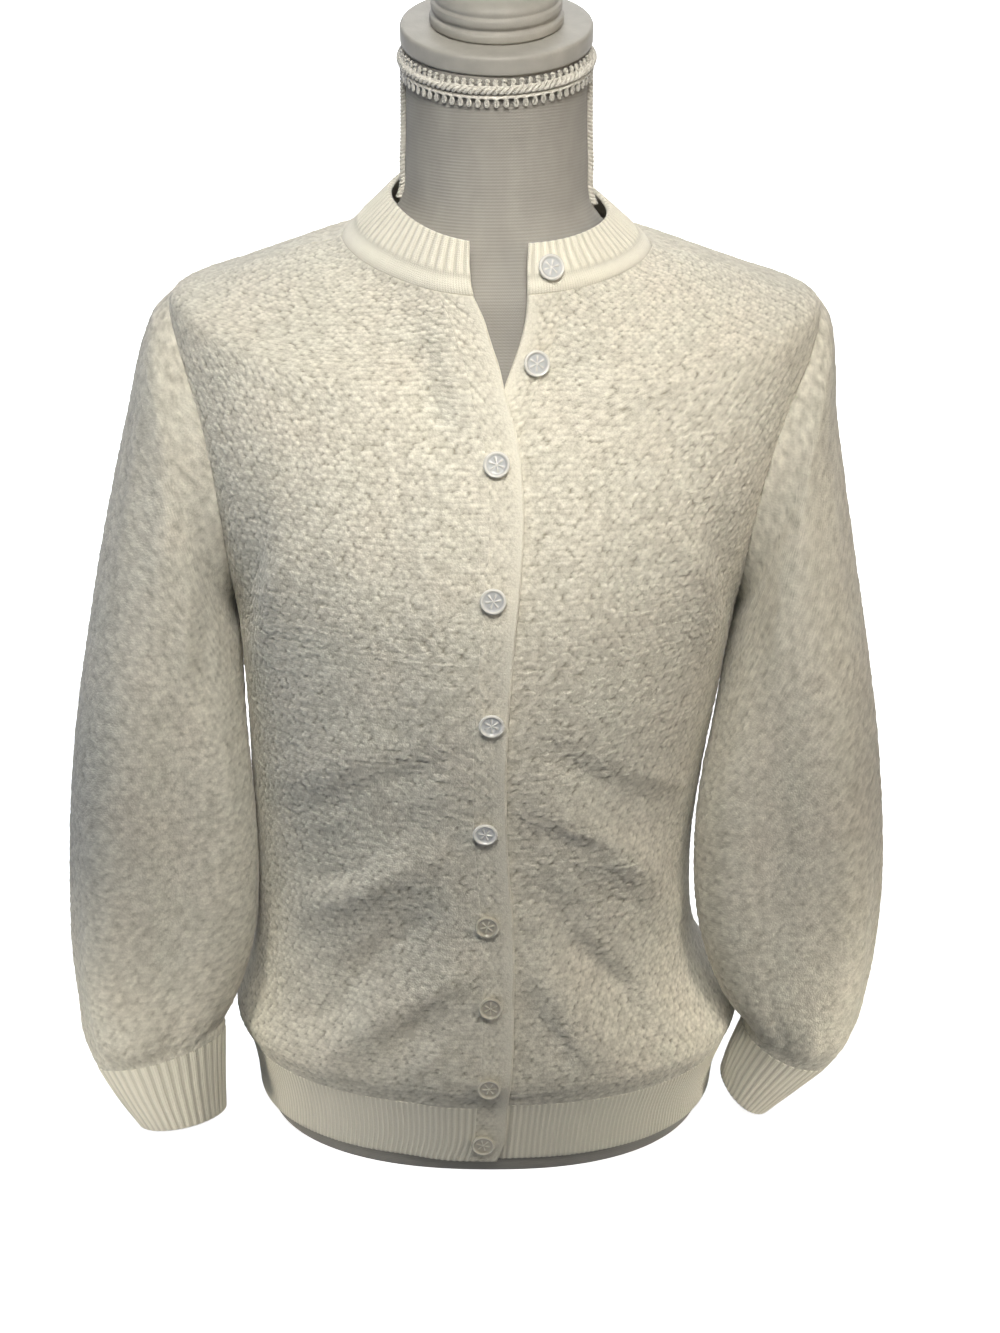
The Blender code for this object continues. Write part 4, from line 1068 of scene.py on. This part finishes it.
def rib_knit():
    """The same yarn in rib: smooth upright ribs of small v-shaped stitches, with
    shade in the furrows, a little cleaner and yellower than the bubbly knit."""
    finish, tree, shader = new_material("acrylic_wool_rib_knit", Roughness=0.9,
                                        Sheen_Weight=0.35, Sheen_Roughness=0.45,
                                        Specular_IOR_Level=0.2)
    across, along, pair = cloth_axes(tree)
    lean = maths(tree, "PINGPONG", across, RIB_WALE / 2)
    stitch = wave(tree, maths(tree, "ADD", along, lean), RIB_COURSE)
    wale = wave(tree, across, RIB_WALE)
    fuzz = add_node(tree, "TexNoise", {"Vector": pair, "Scale": 1.0, "Detail": 3.0,
                                       "Roughness": 0.6}).outputs[0]
    height = maths(tree, "MULTIPLY_ADD", stitch, 0.16, maths(tree, "MULTIPLY_ADD", wale, 0.2, fuzz))
    relief = add_node(tree, "Attribute", attribute_name="relief").outputs["Fac"]
    shade = maths(tree, "MULTIPLY_ADD", height, 0.35, maths(tree, "MULTIPLY", relief, 0.7))
    tint = blend_colours(tree, shade, srgb("#C4BFAF"), srgb("#FDF9EA"))
    tree.links.new(tint, shader.inputs["Base Color"])
    bump_into(tree, shader, height, 0.5)
    return finish


rib_yarn = rib_knit()
hem_rows = HEM_LEVEL + spaced(RIB_TOP_LEVEL - HEM_LEVEL, HEM_ROW, FREE_ROUND)
right_seam, left_seam = 0 * hem_rows - np.pi / 2, 0 * hem_rows + np.pi / 2
hem_front_edge = {-1: angle_at_x(edge_x("over_x", hem_rows) - PLACKET_WIDTH, hem_rows),
                  1: angle_at_x(edge_x("under_x", hem_rows) + PLACKET_WIDTH, hem_rows)}
for hem_node, hem_start, hem_end, hem_width, hem_turn in (
        ("hem_right_front", hem_front_edge[-1], right_seam, 216, -1),
        ("hem_left_front", hem_front_edge[1], left_seam, 222, 1),
        ("hem_back", left_seam, right_seam + 2 * np.pi, 455, 1)):
    hem_way = spaced(hem_width, HEM_STEP, SEAM_ROUND) / hem_width
    hem_sweep = hem_start[:, None] + (hem_end - hem_start)[:, None] * hem_way
    hem_grid = body_skin(hem_sweep, hem_rows[:, None], lapped=hem_node == "hem_right_front")
    hem_phase = np.broadcast_to(hem_way * round(hem_width / HEM_RIB), hem_grid.shape[:2])
    hem_uv = np.stack([hem_phase * HEM_RIB, lengths(hem_grid, 0)], axis=-1)
    hem = knit_wall(hem_node + "_rib", hem_node, rib_yarn, hem_grid, hem_turn,
                    ribs(hem_phase), HEM_RELIEF, hem_uv,
                    rounds=(FREE_ROUND, SEAM_ROUND, SEAM_ROUND, SEAM_ROUND))


# ==== Cuffs ==================================================================
# A wider rib, knitted on at the wrist and left open at its end. The gathered
# sleeve falls over it, and its ribs follow the turn of the wrist.
CUFF_RIBS = 40
CUFF_RELIEF = 1.2             # mm from a rib's crest down into its furrow
CUFF_COLUMNS, CUFF_ROW = 328, 2.0
WIDE_RIB_WALES = 4            # columns of stitches in one wide rib and its furrow
WIDE_SHARP = 0.7              # wide ribs are a little less square than those of the hem
for cuff_side, cuff_node, cuff_tables in (
        (-1, "right_cuff", RIGHT_SLEEVE_RINGS + RIGHT_CUFF_RINGS),
        (1, "left_cuff", LEFT_SLEEVE_RINGS + LEFT_CUFF_RINGS)):
    cuff_turn = np.pi + np.arange(CUFF_COLUMNS) * 2 * np.pi / CUFF_COLUMNS
    cuff_places = even_steps(cuff_side, cuff_tables, SLEEVE_END, CUFF_END, CUFF_ROW, FREE_ROUND)
    cuff_grid = sleeve_surface(cuff_side, cuff_turn, cuff_places, cuff_tables)
    cuff_phase = np.broadcast_to(np.arange(CUFF_COLUMNS) * CUFF_RIBS / CUFF_COLUMNS,
                                 cuff_grid.shape[:2])
    cuff_uv = np.stack([cuff_phase * WIDE_RIB_WALES * RIB_WALE, lengths(cuff_grid, 0)], axis=-1)
    cuff = knit_wall(cuff_node + "_rib", cuff_node, rib_yarn, cuff_grid, cuff_side,
                     ribs(cuff_phase, WIDE_SHARP), CUFF_RELIEF, cuff_uv,
                     CUFF_RIBS * WIDE_RIB_WALES * RIB_WALE, rounds=(SEAM_ROUND, FREE_ROUND, 0, 0))


# ==== Front bands ============================================================
# Two narrow strips, linked to the front edges from hem to neck, plain at their free
# edge and bubbly towards the seam. The wearer's right one has the buttonholes and
# laps over the one with the buttons.
BAND_STEP, BAND_ROW = 0.9, 1.5          # mm between columns and rows of the outer face
PLAIN_EDGE, EDGE_FADE = 2.5, 7          # mm that stay plain, and over which the bumps grow full
band_rows = HEM_LEVEL + spaced(NECK_LEVEL - HEM_LEVEL, BAND_ROW, FREE_ROUND)
band_way = spaced(PLACKET_WIDTH, BAND_STEP, FREE_ROUND)
# Its first two colours are again the painted shade of the pits, the last two the bumps.
band_yarn = bubbly_knit("acrylic_wool_plain_knit", "#999585", "#9F9888", "#F1EFE2", "#F4EEDF")
for band_side, band_node, edge_name in ((-1, "buttonhole_band", "over_x"),
                                        (1, "button_band", "under_x")):
    free_x = edge_x(edge_name, band_rows)
    band_x = free_x[:, None] + band_side * band_way[None]
    band_level = np.broadcast_to(band_rows[:, None], band_x.shape)
    band_grid = body_skin(angle_at_x(band_x, band_level), band_level, lapped=band_side < 0)
    band_u, band_v = lengths(band_grid, 1), lengths(band_grid, 0)
    fade = BAND_BUBBLES[band_side] * np.clip((band_u - PLAIN_EDGE) / EDGE_FADE, 0, 1)
    band_bubbles = bubbles(band_u, band_v, seed=71 + band_side)
    band_relief = SMOOTH_RELIEF + fade * (band_bubbles - SMOOTH_RELIEF)
    band = knit_wall(band_node + "_knit", band_node, band_yarn, band_grid,
                     band_side, band_relief, BUBBLE_HEIGHT,
                     rounds=(FREE_ROUND, SEAM_ROUND, FREE_ROUND, LINK_ROUND))


# ==== Neckband ===============================================================
# A standing band of wide rib round the neck, knitted double and folded at its
# top, with a rolled strip of plain knit along the seam where it is linked on.
ROLL_TOP = 694                # level where the plain roll ends and the rib starts
NECK_WIDTH = 470              # mm round the neckband from corner to corner
NECK_RIB = 5.6                # mm, one rib and one furrow
NECK_RELIEF = 1.4             # mm from a rib's crest down into its furrow
NECK_STEP, NECK_ROW = 0.8, 1.15         # mm between columns and rows of the outer face
ROLL_FADE = 3                 # mm over which the roll gives way to the ribs
ROLL_FOOT = 0.25              # height of the roll's edges, where its crest is 1
neck_rows = NECK_LEVEL + spaced(NECK_TOP - NECK_LEVEL, NECK_ROW, FREE_ROUND)
neck_start = angle_at_x(edge_x("over_x", neck_rows), neck_rows)
neck_end = angle_at_x(edge_x("under_x", neck_rows), neck_rows) - 2 * np.pi
neck_way = spaced(NECK_WIDTH, NECK_STEP, FREE_ROUND) / NECK_WIDTH
neck_sweep = neck_start[:, None] + (neck_end - neck_start)[:, None] * neck_way
neck_grid = body_skin(neck_sweep, neck_rows[:, None], lapped=neck_sweep > -np.pi / 2)
neck_phase = np.broadcast_to(neck_way * round(NECK_WIDTH / NECK_RIB), neck_grid.shape[:2])
roll_way = np.clip((neck_rows - NECK_LEVEL) / (ROLL_TOP - NECK_LEVEL), 0, 1)[:, None]
rib_fade = np.clip((neck_rows - ROLL_TOP) / ROLL_FADE, 0, 1)[:, None]
neck_v = lengths(neck_grid, 0)
roll_relief = ROLL_FOOT + (1 - ROLL_FOOT) * np.sin(np.pi * roll_way) ** 0.7
neck_relief = roll_relief * (1 - rib_fade) + ribs(neck_phase, WIDE_SHARP) * rib_fade
neck_relief = neck_relief + 0.06 * wander(neck_phase * NECK_RIB, neck_v, pitch=4, seed=81)
neck_piece = knit_wall(
    "neckband_rib", "neckband", rib_yarn, neck_grid, -1, neck_relief, NECK_RELIEF,
    np.stack([neck_phase * WIDE_RIB_WALES * RIB_WALE, neck_v], axis=-1),
    rounds=(SEAM_ROUND, FREE_ROUND, FREE_ROUND, FREE_ROUND))


# ==== Buttons ================================================================
# Ten small shank buttons of cast clear acrylic with a pearly back, a raised rim
# and a six-rayed star pressed in the dish. The top two are undone.
BUTTON_RADIUS = 7.8           # mm
BUTTON_HEIGHT = 3.4           # mm from the back to the top of the rim
BUTTON_REST = 1.0             # mm that it stands off the cloth on its shank
SEAT_REACH = 6                # mm from a button's place to those that give the cloth's slope
# x and z in mm, and degrees that the star is turned by
BUTTON_PLACES = (
    (34, 604, 12),
    (26, 551, 25),
    (3, 498, 40),
    (1, 423, 8),
    (0, 344, 33),
    (-4, 265, 50),
    (-3, 196, 15),
    (-1, 137, 28),
    (-2, 79, 5),
    (-6, 29, 44),
)
LOOSE_BUTTONS = 2             # from the top, on the left front
LIT_BUTTONS = 6            # from the top; those below get a duller, warmer copy of the acrylic as painted shade
BUTTON_RINGS = 50
BUTTON_STEPS = 72
STAR_RAYS = 6
STAR_HEIGHT, KNOB_HEIGHT = 0.26, 0.12   # parts of the button's height, above its dish
STAR_REACH, KNOB_REACH, RIM_FROM = 0.66, 0.16, 0.72     # parts of the button's radius
DISH_POINTS = 3               # steps of the profile that lie in the dish
# radius and height as parts of the whole, from the middle of the dish over the
# rim to the middle of the back
BUTTON_PROFILE = ((0, 0.58), (0.3, 0.57), (0.55, 0.56), (0.68, 0.60), (0.76, 0.78), (0.82, 0.95),
                  (0.89, 1.0), (0.96, 0.92), (1.0, 0.72), (0.985, 0.5), (0.9, 0.3), (0.72, 0.12),
                  (0.55, 0.0), (0.3, 0.0), (0.0, 0.0))


def button_seat(x, z, lapped):
    """Point of the cloth's face at a button, in metres, and its outward way: the way
    east times the way up, each between two places at equal reach."""
    levels = np.linspace(HEM_LEVEL, NECK_TOP, 800)
    level = np.interp(z, ring_values(CARDIGAN_RINGS, levels)["front_z"], levels)
    spots = [(x, level), (x + SEAT_REACH, level), (x - SEAT_REACH, level),
             (x, level + SEAT_REACH), (x, level - SEAT_REACH)]
    seat, east, west, up, down = [body_skin(angle_at_x(sx, sl), sl, lapped) for sx, sl in spots]
    return Vector(seat), Vector(np.cross(east - west, up - down)).normalized()


def button_piece(name, matrix, finish):
    """A profile carried round the axis, its dish raised along the rays by the cosine
    of as many turns, squared, and by a small knob in the middle."""
    profile = np.array(BUTTON_PROFILE)
    walk = np.linspace(0, len(profile) - 1, BUTTON_RINGS + 2)[1:-1]
    radius = np.interp(walk, np.arange(len(profile)), profile[:, 0])
    height = np.interp(walk, np.arange(len(profile)), profile[:, 1])
    angle = np.arange(BUTTON_STEPS) * 2 * np.pi / BUTTON_STEPS
    ray = np.clip(np.cos(STAR_RAYS * angle), 0, 1) ** 2
    dish = (walk < DISH_POINTS)[:, None]
    window = np.clip(radius / 0.2, 0, 1) * np.clip((STAR_REACH - radius) / 0.2, 0, 1)
    star = STAR_HEIGHT * ray[None] * window[:, None] * dish
    knob = KNOB_HEIGHT * np.clip(1 - radius / KNOB_REACH, 0, 1)[:, None] * dish
    up = (height[:, None] + star + knob) * BUTTON_HEIGHT
    points = np.stack([radius[:, None] * np.cos(angle) * BUTTON_RADIUS,
                       radius[:, None] * np.sin(angle) * BUTTON_RADIUS, up], axis=-1)
    poles = np.array([[0, 0, (profile[0, 1] + KNOB_HEIGHT) * BUTTON_HEIGHT], [0, 0, 0]])
    points = np.concatenate([points.reshape(-1, 3), poles]) * MM
    faces = [face[::-1] for face in turned_faces(len(walk), BUTTON_STEPS)]
    # Painted highlight: the star's rays, the knob and the rim are marked 1 and painted bright as
    # light catching them; the mask rides in the relief attribute.
    rim = np.clip((radius - RIM_FROM) / 0.14, 0, 1)[:, None] * np.clip(height / 0.7, 0, 1)[:, None]
    glint_mask = np.clip(star / 0.2 + knob / 0.1 + rim, 0, 1).ravel()
    piece = make_piece(name, points, faces, finish, relief=np.append(glint_mask, [1, 0]))
    piece.data.transform(matrix)
    return piece


def cast_acrylic(name, dish, rim, rough):
    """Cast acrylic with a pearl pigment: a hard bright gloss, half clear, cool grey in the
    dish, with painted highlights in the second colour on the star's rays, the knob and the rim."""
    finish, tree, shader = new_material(name, Roughness=rough, IOR=1.49, Transmission_Weight=0.25,
                                        Coat_Weight=0.6, Coat_Roughness=0.06,
                                        Specular_IOR_Level=0.6)
    place = add_node(tree, "TexCoord").outputs["Object"]
    pearl = add_node(tree, "TexNoise", {"Vector": place, "Scale": 1 / 0.0035, "Detail": 2.0})
    relief = add_node(tree, "Attribute", attribute_name="relief").outputs["Fac"]
    # On a button the relief attribute is its painted highlight mask, which takes the second, bright
    # colour.
    shade = maths(tree, "MULTIPLY_ADD", pearl.outputs[0], 0.25, relief)
    tint = blend_colours(tree, shade, srgb(dish), srgb(rim))
    tree.links.new(tint, shader.inputs["Base Color"])
    bump_into(tree, shader, pearl.outputs[0], 0.1)
    return finish


# Lit and shaded copies of the one acrylic: the lower buttons take the darker, warmer one as painted
# shade.
lit_acrylic = cast_acrylic("cast_acrylic_pearl", "#CDD0D3", "#FFFDF7", 0.12)
shaded_acrylic = cast_acrylic("cast_acrylic_pearl_shaded", "#A8A291", "#E4DECB", 0.18)
for number, (button_x, button_z, star_turn) in enumerate(BUTTON_PLACES, start=1):
    seat, way = button_seat(button_x, button_z, lapped=number > LOOSE_BUTTONS)
    place = Matrix.Translation(seat + way * BUTTON_REST * MM)
    place = place @ way.to_track_quat("Z", "Y").to_matrix().to_4x4()
    place = place @ Matrix.Rotation(np.radians(star_turn), 4, "Z")
    button = button_piece("pearl_button_%d" % number, place,
                          lit_acrylic if number <= LIT_BUTTONS else shaded_acrylic)
    stand_for(button, "button_%d" % number)


# ==== Table top, light and camera ============================================
# A white sweep that serves as table and background, with a lamp of its own. A soft
# lamp above lights the chest most. Weaker ones light both sides, cuffs and hem.
SWEEP_FRONT, SWEEP_BACK, SWEEP_HALF, SWEEP_BEND, SWEEP_TOP = -3.0, 3.2, 4.5, 0.8, 4.0     # m
SWEEP_DROP = 0.0005           # m that the sweep lies below the form's base
SWEEP_GLOW = 0.9
# Name, place, point it faces, width, height (m), spread (degrees), power (W), tint
LAMPS = (
    ("key_light", (0.0, -0.78, 1.24), (-0.03, -0.1, 0.535), 0.5, 0.4, 50, 1.22, "#FFFBF2"),
    ("side_light", (0.95, -0.55, 0.75), (0.1, 0.0, 0.3), 0.6, 0.6, 180, 2.7, "#FFEDD0"),
    ("window_light", (-1.0, -0.2, 0.4), (-0.25, 0.0, 0.25), 0.5, 0.5, 180, 1.0, "#DCE9FF"),
    ("cuff_light_1", (-0.85, -0.6, 0.12), (-0.27, -0.06, 0.04), 0.3, 0.15, 24, 0.14, "#FFF8E8"),
    ("cuff_light_2", (0.85, -0.6, 0.12), (0.27, -0.06, 0.06), 0.2, 0.15, 24, 0.12, "#FFF8E8"),
    ("table_bounce", (0.0, -0.95, 0.1), (0.0, -0.1, 0.06), 1.3, 0.12, 180, 0.22, "#F6FAFF"),
    ("sweep_light", (0.0, 1.9, 2.6), (0.0, 3.2, 0.0), 4.0, 1.6, 180, 120, "#FFFFFF"),
)
SURROUND_LIGHT = 0.062
CAMERA_PLACE = (0.005, -1.340, 0.895)   # m
CAMERA_DOWN = 23.23           # degrees that it looks down
CAMERA_LENS = 59.41485        # mm, on a sensor 36 mm high


def white_sweep():
    """A flat floor that turns up into a wall by a quarter circle at its back."""
    turn = np.linspace(0, np.pi / 2, 24)
    y = np.concatenate([[SWEEP_FRONT], SWEEP_BACK + SWEEP_BEND * np.sin(turn),
                        [SWEEP_BACK + SWEEP_BEND]])
    z = np.concatenate([[0], SWEEP_BEND * (1 - np.cos(turn)), [SWEEP_TOP]]) - SWEEP_DROP
    x = np.linspace(-SWEEP_HALF, SWEEP_HALF, 2)
    points = np.stack([np.broadcast_to(x, (len(y), 2)), np.broadcast_to(y[:, None], (len(y), 2)),
                       np.broadcast_to(z[:, None], (len(y), 2))], axis=-1)
    quads, _ = grid_quads(len(y), 2, False)
    finish, tree, shader = new_material("matt_white_paper", Roughness=0.95,
                                        Specular_IOR_Level=0.1)
    place = add_node(tree, "TexCoord").outputs["Object"]
    tooth = add_node(tree, "TexNoise", {"Vector": place, "Scale": 1 / 0.4, "Detail": 2.0})
    tint = blend_colours(tree, tooth.outputs[0], srgb("#F3F3F2"), srgb("#F7F7F6"))
    tree.links.new(tint, shader.inputs["Base Color"])
    shader.inputs["Emission Color"].default_value = srgb("#FFFFFF")
    shader.inputs["Emission Strength"].default_value = SWEEP_GLOW
    sweep = make_piece("white_sweep", points, quads.tolist(), finish)
    sweep.visible_diffuse = False        # the surround, and not the paper, fills the shade


def soft_light(name, place, aim, width, height, spread, power, tint):
    """An area light at a place, turned to face a point, its beam spread in degrees."""
    lamp = bpy.data.lights.new(name, "AREA")
    lamp.shape = "RECTANGLE"
    lamp.size, lamp.size_y = width, height
    lamp.energy = power
    lamp.spread = np.radians(spread)
    lamp.color = srgb(tint)[:3]
    light = bpy.data.objects.new(name, lamp)
    light.location = place
    light.rotation_euler = (Vector(aim) - Vector(place)).to_track_quat("-Z", "Y").to_euler()
    light.visible_camera = False
    bpy.context.scene.collection.objects.link(light)


white_sweep()
for lamp_values in LAMPS:
    soft_light(*lamp_values)
surround = bpy.data.worlds.new("pale_surround")
surround.use_nodes = True
surround.node_tree.nodes["Background"].inputs["Color"].default_value = srgb("#DCE8FF")
surround.node_tree.nodes["Background"].inputs["Strength"].default_value = SURROUND_LIGHT
bpy.context.scene.world = surround
bpy.context.scene.view_settings.view_transform = "Standard"

eye = bpy.data.cameras.new("camera")
eye.sensor_fit = "VERTICAL"
eye.sensor_height = 36
eye.lens = CAMERA_LENS
camera = bpy.data.objects.new("camera", eye)
camera.location = CAMERA_PLACE
camera.rotation_euler = (np.radians(90 - CAMERA_DOWN), 0, 0)
bpy.context.scene.collection.objects.link(camera)
bpy.context.scene.camera = camera
